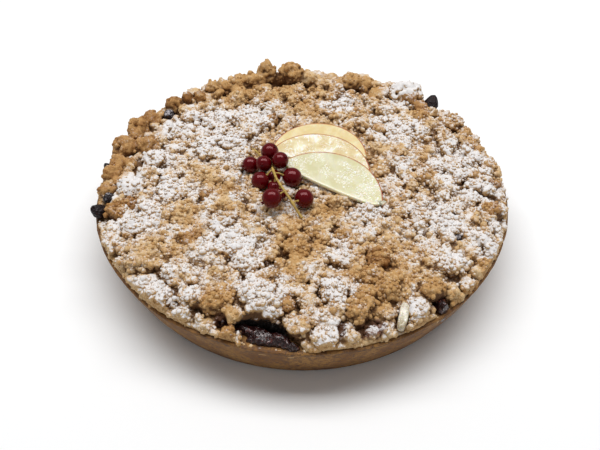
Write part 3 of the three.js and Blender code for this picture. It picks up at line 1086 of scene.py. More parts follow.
@dataclass(frozen=True)
class AppleFinish(Finish):
    """A cut slice of apple: moist pale flesh, with a thin line of peel along its round edge, pale streaks
    that are partly lighter fibres and partly painted glare, and painted highlights on the juice.
    """

    flesh: Colour
    roughness: float
    wet: float
    painted_glints: float
    inner: Colour = srgb(246, 238, 200)
    fibre_glare_streak: Colour = srgb(255, 252, 238)
    painted_glint: Colour = srgb(255, 255, 250)
    rind: Colour = srgb(240, 236, 206)
    peel: Colour = srgb(188, 122, 62)
    blush: Colour = srgb(164, 70, 46)
    fibre_glare_streaks: float = 0.4
    relief: float = 0.35

    def inputs(self, canvas: Canvas) -> Values:
        """Draws the nodes.

        Args:
            canvas: Takes the nodes.

        Returns:
            What the shader's inputs hold.
        """
        place = canvas.place()
        cloudy = canvas.noise(place, 7, detail=2)
        rays = canvas.add("ShaderNodeCombineXYZ", {0: canvas.attribute("ray"), 1: canvas.attribute("deep")})
        fibres = canvas.noise(rays.outputs[0], 1.6, detail=2)
        juice = canvas.math("MULTIPLY", fibres, canvas.ramp(cloudy, 0.35, 0.65, 0.7, 1.2))
        juice = canvas.ramp(juice, 0.54, 0.62)
        flesh = canvas.mix(canvas.ramp(cloudy, 0.35, 0.68), self.flesh, self.inner)
        # Pale streaks along the fibres: partly lighter flesh, partly painted glare on the wet juice.
        flesh = canvas.mix(canvas.math("MULTIPLY", juice, self.fibre_glare_streaks), flesh, self.fibre_glare_streak)
        # Painted highlights: white threads and sparks of light on the juice.
        flesh = canvas.mix(self.painted_glint_mask(canvas, place), flesh, self.painted_glint)
        flesh = canvas.mix(canvas.math("MULTIPLY", canvas.attribute("band"), 0.7), flesh, self.rind)
        skin = canvas.mix(canvas.ramp(canvas.noise(place, 5), 0.42, 0.6), self.peel, self.blush)
        height = canvas.blend(canvas.noise(place, 0.9, detail=3), 0.35, fibres)
        return {
            "Base Color": canvas.mix(canvas.attribute("peel"), flesh, skin),
            "Roughness": canvas.ramp(juice, 0, 1, self.roughness, self.roughness * 0.4),
            "Normal": canvas.bump(height, self.relief, 0.7),
            "Coat Weight": canvas.ramp(juice, 0, 1, self.wet * 0.3, self.wet),
            "Coat Roughness": 0.12,
            "Subsurface Weight": 0.35,
            "Subsurface Radius": (1.0, 0.7, 0.3),
            "Subsurface Scale": 2 * MM,
        }

    def painted_glint_mask(self, canvas: Canvas, place: Socket) -> Socket:
        """Draws the painted highlights: threads and sparks of light put into the juice's colour.

        Args:
            canvas: Takes the nodes.
            place: Feeds the place.

        Returns:
            The mask.
        """
        ripples = canvas.math("SUBTRACT", canvas.noise(place, 3.4, detail=2, roughness=0.6), 0.5)
        threads = canvas.ramp(canvas.math("ABSOLUTE", ripples), 0.004, 0.02, self.painted_glints, 0)
        sparks = canvas.ramp(canvas.noise(place, 0.8, detail=1), 0.56, 0.66, 0, self.painted_glints)
        wet = canvas.noise(place, 11, detail=1)
        threads = canvas.math("MULTIPLY", threads, canvas.ramp(wet, 0.46, 0.56))
        sparks = canvas.math("MULTIPLY", sparks, canvas.ramp(wet, 0.42, 0.52))
        return canvas.math("ADD", threads, sparks, clamp=True)


@dataclass(frozen=True)
class CurrantFinish(Finish):
    """A ripe redcurrant: taut clear skin over deep red flesh."""

    name: str = "redcurrant_skin"
    flesh: Colour = srgb(86, 0, 6)
    vein: Colour = srgb(98, 1, 8)
    sheen: Colour = (1.0, 0.5, 0.52)
    roughness: float = 0.1

    def inputs(self, canvas: Canvas) -> Values:
        """Draws the nodes.

        Args:
            canvas: Takes the nodes.

        Returns:
            What the shader's inputs hold.
        """
        place = canvas.place()
        cloudy = canvas.noise(place, 3, detail=2)
        veins = canvas.math("MULTIPLY", canvas.attribute("vein"), canvas.ramp(cloudy, 0.3, 0.7, 0.4, 1))
        return {
            "Base Color": canvas.mix(veins, self.flesh, self.vein),
            "Roughness": canvas.ramp(cloudy, 0.3, 0.7, self.roughness, self.roughness + 0.08),
            "Normal": canvas.bump(canvas.noise(place, 2.5), 0.03, 0.3),
            "Specular IOR Level": 0.5,
            "Specular Tint": self.sheen,
            "Subsurface Weight": 0.15,
            "Subsurface Radius": (1.0, 0.12, 0.1),
            "Subsurface Scale": 1.5 * MM,
        }


@dataclass(frozen=True)
class StalkFinish(Finish):
    """Stalk or dried flower tip: fibrous, with darker flecks."""

    light: Colour
    dark: Colour
    roughness: float = 0.55

    def inputs(self, canvas: Canvas) -> Values:
        """Draws the nodes.

        Args:
            canvas: Takes the nodes.

        Returns:
            What the shader's inputs hold.
        """
        shade, height = canvas.grain(canvas.place(), 2.5, 0.5)
        flecks = canvas.ramp(shade, 0.35, 0.65)
        return {
            "Base Color": canvas.mix(flecks, self.dark, self.light),
            "Roughness": canvas.ramp(flecks, 0, 1, self.roughness + 0.1, self.roughness),
            "Normal": canvas.bump(height, 0.12, 0.7),
        }


@dataclass(frozen=True)
class TableFinish(Finish):
    """The plain pale floor."""

    name: str = "pale_table"
    pale: Colour = (0.965, 0.97, 0.975)
    cloud: Colour = (0.93, 0.935, 0.94)

    def inputs(self, canvas: Canvas) -> Values:
        """Draws the nodes, for a shade that hardly changes."""
        faint = canvas.math("MULTIPLY", canvas.noise(canvas.place(), 60), 0.02)
        return {"Base Color": canvas.mix(faint, self.pale, self.cloud), "Roughness": 0.8}


# ---------------- pastry shell


@dataclass
class PastryShell:
    """The shortcrust shell: floor, leaning wall and uneven rim."""

    sectors: int = 480
    wall_rows: int = 28
    rim_round: float = 0.5
    lip: float = 2
    swell: float = 0.22
    pitting: float = 0.12
    foot_round: float = 1.0
    finish: PastryFinish = PastryFinish()

    def rings(self) -> list[tuple[Array, Array]]:
        """Lays out the shell from the floor's middle, over the rim and back underneath.

        Returns:
            Radius and height of each ring.
        """
        angles = 2 * np.pi * np.arange(self.sectors) / self.sectors
        inner, rim = FORM.inner_radius(FORM.height), FORM.rim_height(angles)
        floor_edge = FORM.inner_radius(FORM.floor)
        rings = [(0, FORM.floor)]
        rings += [(floor_edge * share, FORM.floor) for share in (0.33, 0.66, 0.9, 1)]
        for share in np.linspace(0, 1, 8)[1:]:
            height = FORM.floor + (rim - 0.5 - FORM.floor) * share
            rings.append((floor_edge + (inner - floor_edge) * share, height))
        edge = FORM.outer_radius(1, angles)
        for share in (0.35, 0.7, 1):
            rings.append((inner + (edge - self.lip - inner) * share, rim - 0.5 * (1 - share)))
        for share in np.linspace(0, 1, 5)[1:]:
            turn = share * np.pi / 2
            reach = edge - self.rim_round * (1 - math.sin(turn)) * 2
            rings.append((reach, rim - self.rim_round * (1 - math.cos(turn))))
        low = self.foot_round / FORM.height
        top = 1 - self.rim_round / FORM.height
        for share in np.linspace(top, low, self.wall_rows)[1:]:
            rings.append((FORM.outer_radius(share, angles), share * rim))
        for turn in np.linspace(0, np.pi / 2, 4)[1:]:
            reach = FORM.base_radius - self.foot_round * (1 - math.cos(turn))
            rings.append((reach, self.foot_round * (1 - math.sin(turn))))
        rings += [(FORM.base_radius * share, 0) for share in (0.96, 0.9, 0.8, 0.66, 0.5, 0.33, 0.16)]
        rings.append((0, 0))
        return rings

    def build(self) -> Object:
        """Makes the shell.

        Returns:
            The piece.
        """
        vertices, faces = revolve(self.rings(), self.sectors)
        across, height = np.hypot(vertices[:, 0], vertices[:, 1]), vertices[:, 2]
        side = smooth_step(across, 106, 108) * smooth_step(height, 0.3, 3) * (height < FORM.height - 0.2)
        swell = self.swell * lattice_noise(vertices, 9, 1) + 0.5 * self.swell * lattice_noise(vertices, 4, 2)
        pits = -self.pitting * smooth_step(lattice_noise(vertices, 1.8, 3), 0.45, 0.8) * 3
        push = side * (swell + pits - 0.15)
        vertices[:, :2] += push[:, None] * vertices[:, :2] / np.maximum(across, 1)[:, None]
        # The rim browns in patches; near the floor the wall gets painted shade. Both go into the baked mark.
        rim = smooth_step(height, 29.5, 32) * smooth_step(lattice_noise(vertices, 5, 4), -0.3, 0.7) * 0.5
        foot_shade = (1 - smooth_step(height, 0.5, 5)) * (0.3 + 0.2 * lattice_noise(vertices, 6, 5))
        mesh = make_mesh("pastry_shell_baked", vertices, [faces])
        set_attribute(mesh, "baked", np.clip(rim + foot_shade, 0, 1))
        return make_piece(mesh, [self.finish.material()], ["pastry_shell"])


# ---------------- fruit filling


@dataclass
class JamFilling:
    """The dark fruit filling, and the wells of jam that show through the crumble."""

    voxel: float = 0.9
    budget: int = 30000
    sectors: int = 180
    drupe: float = 1.3
    drupes: int = 12
    crinkle: float = 0.45
    finish: JamFinish = JamFinish()

    def build(self) -> Object:
        """Makes the filling.

        Returns:
            The piece.
        """
        draw = np.random.default_rng(17)
        low, top = FORM.floor + 0.3, FORM.filling_top
        wide, narrow = FORM.inner_radius(top) - 0.3, FORM.inner_radius(low) - 0.3
        skins = [revolve([(0, top), (wide * 0.5, top), (wide, top), (narrow, low), (0, low)], self.sectors)]
        unit, faces = ball(3)
        small, small_faces = ball(2)
        for well in JAM_WELLS:
            middle = (top + well.top) / 2
            halves = np.array([well.half_width, well.half_depth, well.top - middle + 2])
            spin = turn_about_up(math.radians(well.turn))
            centre = np.array([well.x, well.y, middle])
            skins.append((unit * (halves - 0.5) @ spin + centre, faces))
            for _ in range(self.drupes):
                way = draw.normal(size=3)
                way[2] = abs(way[2])
                seat = way / np.linalg.norm(way) * (halves - self.drupe * 0.75)
                size = self.drupe * draw.uniform(0.6, 1.1)
                skins.append((small * size + seat @ spin + centre, small_faces))
        mesh = fuse("fruit_filling_baked", join(skins), self.voxel, self.budget)
        places, normals = read_mesh(mesh)
        crinkle = self.crinkle * (lattice_noise(places, 1.5, 6) + 1.2 * lattice_noise(places, 3.2, 7))
        places += normals * (crinkle * smooth_step(places[:, 2], 27, 29))[:, None]
        x, y, _ = places.T
        across, angle = np.hypot(x, y), np.arctan2(y, x)
        squeeze = np.minimum(1, (FORM.edge_radius(angle) - 0.3) / np.maximum(across, 1))
        places[:, :2] *= squeeze[:, None]
        mesh.vertices.foreach_set("co", places.astype(np.float32).ravel())
        lit = smooth_step(normals[:, 2], 0.1, 0.8) * smooth_step(places[:, 2], 30, 33)
        set_attribute(mesh, "sugar", 0.15 * lit)
        return make_piece(mesh, [self.finish.material()], ["fruit_filling"])


# ---------------- crumble


class Tone(Enum):
    """How a lump has baked: how brown its dough is, and how much sugar lies on it."""

    GOLDEN = (0.5, 0.2)
    AMBER = (0.72, 0.15)
    BROWN = (0.8, 0.16)
    BURNT = (1.05, 0.02)
    BEIGE = (0.2, 0.42)
    HALF_SUGARED = (0.4, 0.55)
    SUGARED = (0.3, 0.85)

    def __init__(self, brown: float, sugar: float) -> None:
        """Takes the browning and how much sugar covers, each from 0 to 1."""
        self.brown, self.sugar = brown, sugar


# The large lumps by how they have baked: where they lie, their width and their height above the bed.
LUMPS = {
    Tone.GOLDEN: (
        (-60, 89, 9, 8), (-52, 92, 7, 6), (-43, 97, 13, 7), (-35, 100, 10, 7),
        (-24.5, 103, 14, 15.5), (-29, 99, 9, 7), (-8, 101, 16, 13), (-15, 101, 8, 6), (25, 97, 11, 6),
        (33, 98, 14, 8.5), (43, 97, 11, 6.5), (76, 60, 12, 5), (102, 45, 8, 5), (104, 36, 8, 4),
        (108, 29, 7, 5), (-3, -58, 14, 6), (36, -77, 12, 6), (53, -74, 7, 4), (74, 3, 11, 4),
        (22, -46, 9, 4), (-45, -95, 12, 7), (-37, -92, 8, 5), (28, -99, 14, 8),
        (32, -89, 9, 6), (43, -87, 12, 7), (66, -86, 12, 7), (96, -67, 10, 5), (48, 47, 10, 4),
    ),
    Tone.AMBER: (
        (-112.5, -10, 9, 6), (-107.5, -3, 6, 4), (-112, 4, 11, 7), (-110.5, 14, 10, 7), (-103, 12, 7, 4),
        (-103, 38, 9, 7), (-36, -110, 7, 2.5), (-108.5, 27, 15, 10), (-95, 28, 14, 7), (-103, 46, 14, 10),
        (-104, -28, 11, 5), (77, 70, 9, 6), (106, -25, 11, 5), (-54, -17, 9, 5), (-60, -51, 11, 5),
        (-20, 56, 9, 4), (-8, -98, 9, 6),
    ),
    Tone.BROWN: (
        (-96, 56, 11, 7), (-97, -23, 8, 4), (-84, 71, 10, 9), (-68, 80, 8, 6), (71, 77, 10, 8),
        (113, -3, 6, 4), (40, -64, 13, 6),
    ),
    Tone.BURNT: ((-76, 78, 8, 8),),
    Tone.BEIGE: (
        (3.5, 100.5, 11, 8), (12, 98, 7, 3.5), (18, 98, 7, 3.5), (50, 95, 7, 6), (57, 94, 8, 6),
        (83, 64, 8, 5), (-70, -31, 17, 5), (-64, 10, 10, 4), (-57, -79, 7, 4), (-47, -82, 7, 4),
        (3, -95, 10, 6), (58, -106, 8, 4), (-83, -66, 17, 7),
    ),
    Tone.HALF_SUGARED: (
        (96, 54, 12, 7), (112, 13, 8, 5), (-62, 40, 11, 4), (66, -34, 12, 4.5), (-44, -36, 11, 4.5),
        (-103, -50, 12, 4), (-55, -91, 13, 7), (75, -71, 11, 6), (86, -80, 9, 4), (-2, -107.5, 12, 4.5),
        (4.5, -103, 10, 5),
    ),
    Tone.SUGARED: (
        (-99, -11, 15, 7), (68, 84, 19, 11), (108, 7, 7, 4), (91, 33, 9, 4), (99, 15, 9, 4),
        (-88, 16, 14, 6), (-77, -14, 12, 4.5), (-90, -41, 15, 6), (-28, -68, 15, 6), (36, -31, 14, 5.5),
        (60, 8, 9, 4), (62, 30, 10, 4), (-68, -75, 10, 5), (-73, -90, 15, 7), (-19, -95.6, 21, 9),
        (15, -89, 13, 7), (11, -112.5, 13, 5), (57, -97, 13, 7),
    ),
}  # fmt: skip


@dataclass(frozen=True)
class Lump:
    """A lump of crumble: where it lies, its width, its height above the bed, and how it has baked."""

    x: float
    y: float
    width: float
    rise: float
    tone: Tone | None = None


# Where icing sugar lies thick, and where the dough is bare: middle and reach.
SUGAR_DRIFTS = (
    (-48, 33, 15), (-60, 52, 13), (-88, 17, 11), (-40, -48, 12), (-28, -55, 10), (75, -34, 14), (95, 22, 12),
    (90, 5, 12), (66, 80, 10), (100, -10, 12), (28, 75, 11), (-99, -8, 8), (-74, -12, 10), (-90, -37, 10),
    (-74, -90, 9), (-60, -90, 8), (38, -28, 9), (80, -68, 8), (98, -55, 10), (22, -62, 9), (15, -88, 8),
    (-17, -90, 10), (12, -113, 7), (57, -95, 8), (60, 45, 12), (-30, 60, 10), (108, -38, 9), (-80, 45, 9),
)  # fmt: skip
BARE_PLACES = (
    (-52, 90, 13), (-34, 92, 13), (-14, 92, 13), (8, 92, 12), (30, 92, 12), (48, 90, 9), (-112, 30, 12),
    (-108, 50, 11), (-113, 6, 9), (-94, 28, 8), (-2, -46, 10), (-4, -64, 9), (6, -56, 8), (30, -72, 12),
    (38, -88, 12), (46, -74, 11), (-45, -96, 8), (-37, -105, 7), (-68, -32, 8), (-20, 82, 12), (0, 70, 9),
    (-84, 72, 9), (66, -86, 7), (12, -30, 8), (-78, -60, 9),
)  # fmt: skip


@dataclass(frozen=True)
class Dusting:
    """How thick the icing sugar lies over the plan."""

    base: float = 0.46
    heavy: float = 0.52
    bare: float = 0.34
    unevenness: float = 0.24

    @staticmethod
    def near(places: Sequence[Point], x: Array, y: Array) -> Array:
        """How near the closest of several places is, from 0 to 1."""
        near = np.zeros(len(x))
        for across, deep, reach in places:
            near = np.maximum(near, np.exp(-((x - across) ** 2 + (y - deep) ** 2) / (1.4 * reach**2)))
        return near

    def amount(self, x: Array, y: Array) -> Array:
        """Works out the sugar on a level open place.

        Args:
            x: Places across.
            y: Places in depth.

        Returns:
            Amounts from 0 to 1.
        """
        drift = self.heavy * self.near(SUGAR_DRIFTS, x, y) - self.bare * self.near(BARE_PLACES, x, y)
        uneven = self.unevenness * (plan_noise(x, y, 9, 21) + 0.7 * plan_noise(x, y, 4, 22))
        return np.clip(self.base + drift + uneven, 0, 1)


class SkyMap:
    """How open to the sky a place on the crumble is, from the heights of all that lies round it."""

    cell = 0.5
    half = 128
    directions = 10
    distances = (1.2, 2.2, 3.8, 6)

    def __init__(self, places: Array) -> None:
        """Draws the map.

        Args:
            places: Points all over the surface.
        """
        self.count = int(2 * self.half / self.cell)
        self.top = np.full((self.count, self.count), -np.inf)
        np.maximum.at(self.top, self._cells(places[:, 0], places[:, 1]), places[:, 2])
        for _ in range(4):
            grown = self.top.copy()
            for shift, axis in itertools.product((-1, 1), (0, 1)):
                grown = np.maximum(grown, np.roll(self.top, shift, axis))
            self.top = np.where(np.isinf(self.top), grown, self.top)
        self.top = np.where(np.isinf(self.top), 0, self.top)

    def _cells(self, x: Array, y: Array) -> tuple[Array, Array]:
        """Finds the cell of each place."""
        return tuple(np.clip(((at + self.half) / self.cell).astype(int), 0, self.count - 1) for at in (x, y))

    def height(self, x: Array, y: Array) -> Array:
        """Height of the highest thing over each place."""
        return self.top[self._cells(x, y)]

    def openness(self, places: Array) -> Array:
        """Measures how much sky each place sees.

        Args:
            places: Rows of x, y, z.

        Returns:
            From 0 in a deep hole to 1 on a peak.
        """
        x, y, z = places.T
        seen = np.zeros(len(places))
        for k in range(self.directions):
            angle = 2 * np.pi * k / self.directions
            slope = np.zeros(len(places))
            for distance in self.distances:
                over = self.height(x + distance * math.cos(angle), y + distance * math.sin(angle))
                slope = np.maximum(slope, (over - z) / distance - 0.3)
            seen += 1 - slope / np.hypot(slope, 1)
        covered = smooth_step(self.height(x, y) - z, 1.2, 3) * smooth_step(FORM.inward(x, y), 0.8, 3)
        return seen / self.directions * (1 - 0.6 * covered)


@dataclass(frozen=True)
class Sizes:
    """Sizes of crumbs: the usual one, how much they vary, and the smallest and the largest."""

    usual: float
    vary: float
    low: float
    high: float

    def draw(self, numbers: np.random.Generator, count: int | None = None) -> Array:
        """Draws as many sizes as asked, or a single one."""
        return np.clip(self.usual * np.exp(self.vary * numbers.normal(size=count)), self.low, self.high)


@dataclass
class Crumbs:
    """Balls of dough, to be fused or scattered."""

    centres: list[Array] = field(default_factory=list)
    radii: list[Array] = field(default_factory=list)
    brown: list[Array] = field(default_factory=list)
    sugar: list[Array] = field(default_factory=list)

    def add(self, centres: Array, radii: Array, tone: Tone | None = None) -> None:
        """Adds balls.

        Args:
            centres: Their middles.
            radii: One radius for each, or three.
            tone: How they have baked, or None to follow their surroundings.
        """
        radii = radii[:, None] * np.ones(3) if radii.ndim == 1 else radii
        self.centres.append(centres)
        self.radii.append(radii)
        self.brown.append(np.full(len(centres), np.nan if tone is None else tone.brown))
        self.sugar.append(np.full(len(centres), np.nan if tone is None else tone.sugar))

    @classmethod
    def together(cls, sets: Sequence["Crumbs"]) -> "Crumbs":
        """Puts several sets of crumbs into one."""
        rows = zip(*((one.centres, one.radii, one.brown, one.sugar) for one in sets))
        return cls(*([array for part in kind for array in part] for kind in rows))

    def skin(self, draw: np.random.Generator, subdivisions: int, knock: float) -> Skin:
        """Makes the balls, each knocked out of true and turned.

        Args:
            draw: Where the numbers come from.
            subdivisions: How fine a ball is.
            knock: How far a corner may stray, as a share of the radius.

        Returns:
            All their vertices and triangles.
        """
        unit, faces = ball(subdivisions)
        centres, radii = np.concatenate(self.centres), np.concatenate(self.radii)
        count = len(centres)
        stray = 1 + knock * draw.uniform(-1, 1, (count, len(unit), 1))
        shapes = unit[None] * stray * radii[:, None, :]
        balls = np.einsum("nij,nvj->nvi", random_turns(draw, count), shapes)
        vertices = (balls + centres[:, None, :]).reshape(-1, 3)
        numbered = faces[None] + (np.arange(count) * len(unit))[:, None, None]
        return vertices, numbered.reshape(-1, 3)

    def look_up(self, places: Array) -> tuple[Array, Array]:
        """Finds how the nearest ball to each place has baked.

        Args:
            places: Rows of x, y, z.

        Returns:
            Browning and sugar, not-a-number where they follow the surroundings.
        """
        centres = np.concatenate(self.centres)
        tree = KDTree(len(centres))
        for k, centre in enumerate(centres):
            tree.insert(centre, k)
        tree.balance()
        nearest = np.array([tree.find(place)[1] for place in places])
        return np.concatenate(self.brown)[nearest], np.concatenate(self.sugar)[nearest]


@dataclass
class CrumbleTopping:
    """The crumble: a bed of small crumbs, larger lumps fused to it, and loose crumbs on top."""

    bed_voxel: float = 0.7
    bed_budget: int = 165000
    lump_voxel: float = 0.65
    lump_budget: int = 165000
    knock: float = 0.16
    bed_crumb_pitch: float = 2.1
    bed_crumb: Sizes = Sizes(1.15, 0.3, 0.7, 2.3)
    nub_pitch: float = 6.6
    nub: Sizes = Sizes(6.4, 0.3, 3.8, 11)
    nub_reach: float = 116.5
    slab_sectors: int = 420
    slab_rings: int = 96
    loose_reach: float = 116
    lump_edge: float = 118
    loose_lumps: int = 44
    loose_lump_radius: tuple[float, float] = (2.6, 4.9)
    loose_crumbs: int = 420
    loose_crumb: Sizes = Sizes(0.95, 0.3, 0.5, 1.9)
    grain_pitch: float = 2.05
    grain: Sizes = Sizes(1.02, 0.33, 0.5, 2)
    grain_kinds: tuple[tuple[str, float, float], ...] = (
        ("crumble_grains_fine", 0.0, 0.86),
        ("crumble_grains_even", 0.86, 1.1),
        ("crumble_grains_coarse", 1.1, 9.0),
    )
    grain_limit: int = 7000
    finish: CrumbleFinish = CrumbleFinish()
    dusting: Dusting = Dusting()

    def __post_init__(self) -> None:
        """Gathers the hollows and starts the stream of numbers."""
        self.draw = np.random.default_rng(4711)
        self.hollows = [JAM_CAVE, STUB_SEAT]
        self.hollows += [well.hollow() for well in JAM_WELLS if not well.buried]
        self.hollows += [berry.hollow() for berry in DARK_BERRIES]

    # -------- where things may be

    def ceiling(self, x: Array, y: Array) -> Array:
        """Height of the lowest topping over each place, or infinity."""
        return np.minimum.reduce([topping.underside(x, y) for topping in (*SLICES, *CURRANTS)])

    def in_hollow(self, x: Array, y: Array, margin: float = 1.0) -> Array:
        """Whether each place is in a hollow that stays free."""
        return np.any([hollow.reach(x, y) < margin for hollow in self.hollows], axis=0)

    def surface(self, x: Array, y: Array) -> Array:
        """Works out the height of the bed, with its swells, its hollows and what bears the slices.

        Args:
            x: Places across.
            y: Places in depth.

        Returns:
            Heights.
        """
        free = FORM.free(x, y)
        swell = 0.9 * plan_noise(x, y, 11, 31) + 0.7 * plan_noise(x, y, 6, 32)
        height = FORM.bed_height(x, y) + free * swell
        slices = np.minimum.reduce([topping.underside(x, y) for topping in SLICES])
        bearing = np.where(np.isinf(slices), height, slices - 0.9)
        height = np.where(bearing > height, np.minimum(bearing, height + 4), height)
        for hollow in self.hollows:
            wall = smooth_step(hollow.reach(x, y), 0.96, 1.14)
            height = np.minimum(height, hollow.floor + (height - hollow.floor) * wall)
        return height

    def trim(self, places: Array) -> Array:
        """Presses fused crumbs back where the tin, the toppings and the cave leave no room.

        Args:
            places: The skin's vertices.

        Returns:
            The vertices, moved.
        """
        x, y, z = places.T.copy()
        across, angle = np.hypot(x, y), np.arctan2(y, x)
        room = FORM.edge_radius(angle) + 0.12 * lattice_noise(places, 3, 41)
        squeeze = np.minimum(1, room / np.maximum(across, 1))
        x, y = x * squeeze, y * squeeze
        z = np.minimum(z, self.ceiling(x, y) - 0.15)
        up = (z - CAVE_MIDDLE) / CAVE_HALF_HEIGHT
        reach = np.hypot(JAM_CAVE.reach(x, y), up)
        inside = (reach < 1) & (z > JAM_CAVE.floor + 1)
        grow = np.where(inside, 1 / np.maximum(reach, 0.3), 1)
        x = JAM_CAVE.x + (x - JAM_CAVE.x) * grow
        y = JAM_CAVE.y + (y - JAM_CAVE.y) * grow
        z = np.where(inside, CAVE_MIDDLE + (z - CAVE_MIDDLE) * grow, z)
        return np.stack([x, y, z], axis=1)

    # -------- making crumbs

    def add_clump(self, crumbs: Crumbs, cores: list[Skin], lump: Lump) -> None:
        """Makes a lump: a rough core under a skin of crumbs.

        Args:
            crumbs: Takes the crumbs.
            cores: Takes the core.
            lump: The lump.
        """
        draw = self.draw
        sink = 0.3 * lump.width + 1
        half_height = (lump.rise + sink) / 2
        stretch = 1 + 0.22 * draw.uniform(-0.5, 0.5)
        halves = np.array([lump.width / 2 * stretch, lump.width / 2 / stretch, half_height])
        bed = float(FORM.bed_height(np.array([lump.x]), np.array([lump.y]))[0])
        centre = np.array([lump.x, lump.y, bed + lump.rise - half_height])
        turn = draw.uniform(0, np.pi)
        spin = turn_about_up(turn)
        boxy = draw.uniform(2.0, 3.4)
        taper = 0.6 * float(smooth_step(np.array(lump.rise / lump.width), 0.78, 1.15))
        offset = draw.uniform(-50, 50, 3)

        def shape(ways: Array, sunk: Array | float) -> Array:
            """Puts directions on the lump's surface, some way under it."""
            rounded = ways / (np.abs(ways) ** boxy).sum(axis=1, keepdims=True) ** (1 / boxy)
            uneven = 1 + 0.14 * lattice_noise(ways * 1.3 + offset, 1, 51)[:, None]
            points = rounded * uneven * (halves - np.asarray(sunk)[..., None])
            narrow = 1 - taper * smooth_step(points[:, 2:] / half_height, -0.2, 1)
            return np.concatenate([points[:, :2] * narrow, points[:, 2:]], axis=1) @ spin + centre

        unit, faces = ball(3 if lump.width > 10 else 2)
        cores.append((shape(unit, 0.1 * lump.width), faces))
        grain = min(1.55, 0.75 + 0.045 * lump.width)
        area = 4 * np.pi * (halves[0] * halves[1] + 2 * halves[0] * halves[2]) / 3
        count = int(0.62 * area / grain**2)
        ways = draw.normal(size=(count, 3))
        ways /= np.linalg.norm(ways, axis=1, keepdims=True)
        ways = ways[ways[:, 2] > -0.45]
        radii = Sizes(grain, 0.34, 0.6, 0.3 * lump.width).draw(draw, len(ways))
        centres = shape(ways, radii * draw.uniform(0.35, 1.0, len(ways)))
        knobs = draw.normal(size=(int(2 + lump.width / 4), 3))
        knobs[:, 2] = np.abs(knobs[:, 2])
        knobs /= np.linalg.norm(knobs, axis=1, keepdims=True)
        knob_radii = draw.uniform(0.13, 0.2, len(knobs)) * lump.width
        centres = np.concatenate([centres, shape(knobs, knob_radii * 0.85)])
        radii = np.concatenate([radii, knob_radii])
        radii3 = radii[:, None] * draw.uniform(0.8, 1.25, (len(radii), 3))
        clear = ~self.in_hollow(centres[:, 0], centres[:, 1], 0.9) | (centres[:, 2] > 43)
        crumbs.add(centres[clear], radii3[clear], lump.tone)

    def jittered(self, pitch: float) -> tuple[Array, Array]:
        """Spreads places evenly but not in rows.

        Args:
            pitch: Mean distance between neighbours.

        Returns:
            Places across and in depth, all on the crumble.
        """
        steps = np.arange(-120, 120, pitch)
        x, y = (grid.ravel() for grid in np.meshgrid(steps, steps))
        x = x + self.draw.uniform(-0.5, 0.5, len(x)) * pitch
        y = y + self.draw.uniform(-0.5, 0.5, len(y)) * pitch
        inside = FORM.inward(x, y) > 0.4
        return x[inside], y[inside]

    def slab(self) -> Skin:
        """Makes the body of the bed under its crumbs.

        Returns:
            A closed skin.
        """
        angles = 2 * np.pi * np.arange(self.slab_sectors) / self.slab_sectors
        edge, rim = FORM.edge_radius(angles) - 0.5, FORM.rim_height(angles)
        rings = [(0, float(self.surface(np.zeros(1), np.zeros(1))[0]) - 1)]
        for share in np.linspace(0, 1, self.slab_rings)[1:]:
            x, y = edge * share * np.cos(angles), edge * share * np.sin(angles)
            rings.append((edge * share, np.maximum(self.surface(x, y) - 1.7, 26)))
        top, wide = FORM.filling_top, FORM.inner_radius(FORM.height) - 0.3
        rings += [(edge, rim + 0.3), (wide, rim - 4), (FORM.inner_radius(top) - 1.3, top - 1), (0, top - 1)]
        return revolve(rings, self.slab_sectors)

    def make_bed(self) -> tuple[Mesh, Crumbs]:
        """Makes the bed of small crumbs.

        Returns:
            The mesh, and the crumbs that it was fused from.
        """
        crumbs, cores = Crumbs(), []
        x, y = self.jittered(self.bed_crumb_pitch)
        keep = ~self.in_hollow(x, y, 1.08)
        x, y = x[keep], y[keep]
        radii = self.bed_crumb.draw(self.draw, len(x))
        z = self.surface(x, y) - 0.8 - radii * self.draw.uniform(0.1, 0.9, len(x))
        crumbs.add(np.stack([x, y, z], axis=1), radii)
        x, y = self.jittered(self.nub_pitch)
        covered = self.ceiling(x, y) < np.inf
        keep = ~self.in_hollow(x, y, 1.25) & ~covered & (np.hypot(x, y) < self.nub_reach)
        for across, deep in zip(x[keep], y[keep]):
            width = self.nub.draw(self.draw)
            rise = width * self.draw.uniform(0.26, 0.56)
            self.add_clump(crumbs, cores, Lump(across, deep, width, rise))
        skin = join([self.slab(), *cores, crumbs.skin(self.draw, 1, self.knock)])
        return fuse("crumble_bed", skin, self.bed_voxel, self.bed_budget), crumbs

    def scattered_lumps(self) -> list[Lump]:
        """Finds places for the smaller lumps, none closer than its neighbours allow.

        Returns:
            The lumps.
        """
        draw = number_stream(2024)
        placed = [(x, y, width * 0.42) for lumps in LUMPS.values() for x, y, width, _ in lumps]
        found: list[Lump] = []
        low, high = self.loose_lump_radius
        while len(found) < self.loose_lumps:
            reach, angle = self.loose_reach * math.sqrt(draw()), 2 * math.pi * draw()
            radius = low + (high - low) * draw() ** 1.6
            x, y = reach * math.cos(angle), reach * math.sin(angle)
            apart = all(math.hypot(x - px, y - py) > 0.84 * (r + radius) for px, py, r in placed)
            if apart and self.is_free(x, y, radius) and reach + radius <= self.lump_edge:
                placed.append((x, y, radius))
                found.append(Lump(x, y, 2 * radius, radius * (0.7 + 0.5 * draw())))
        return found

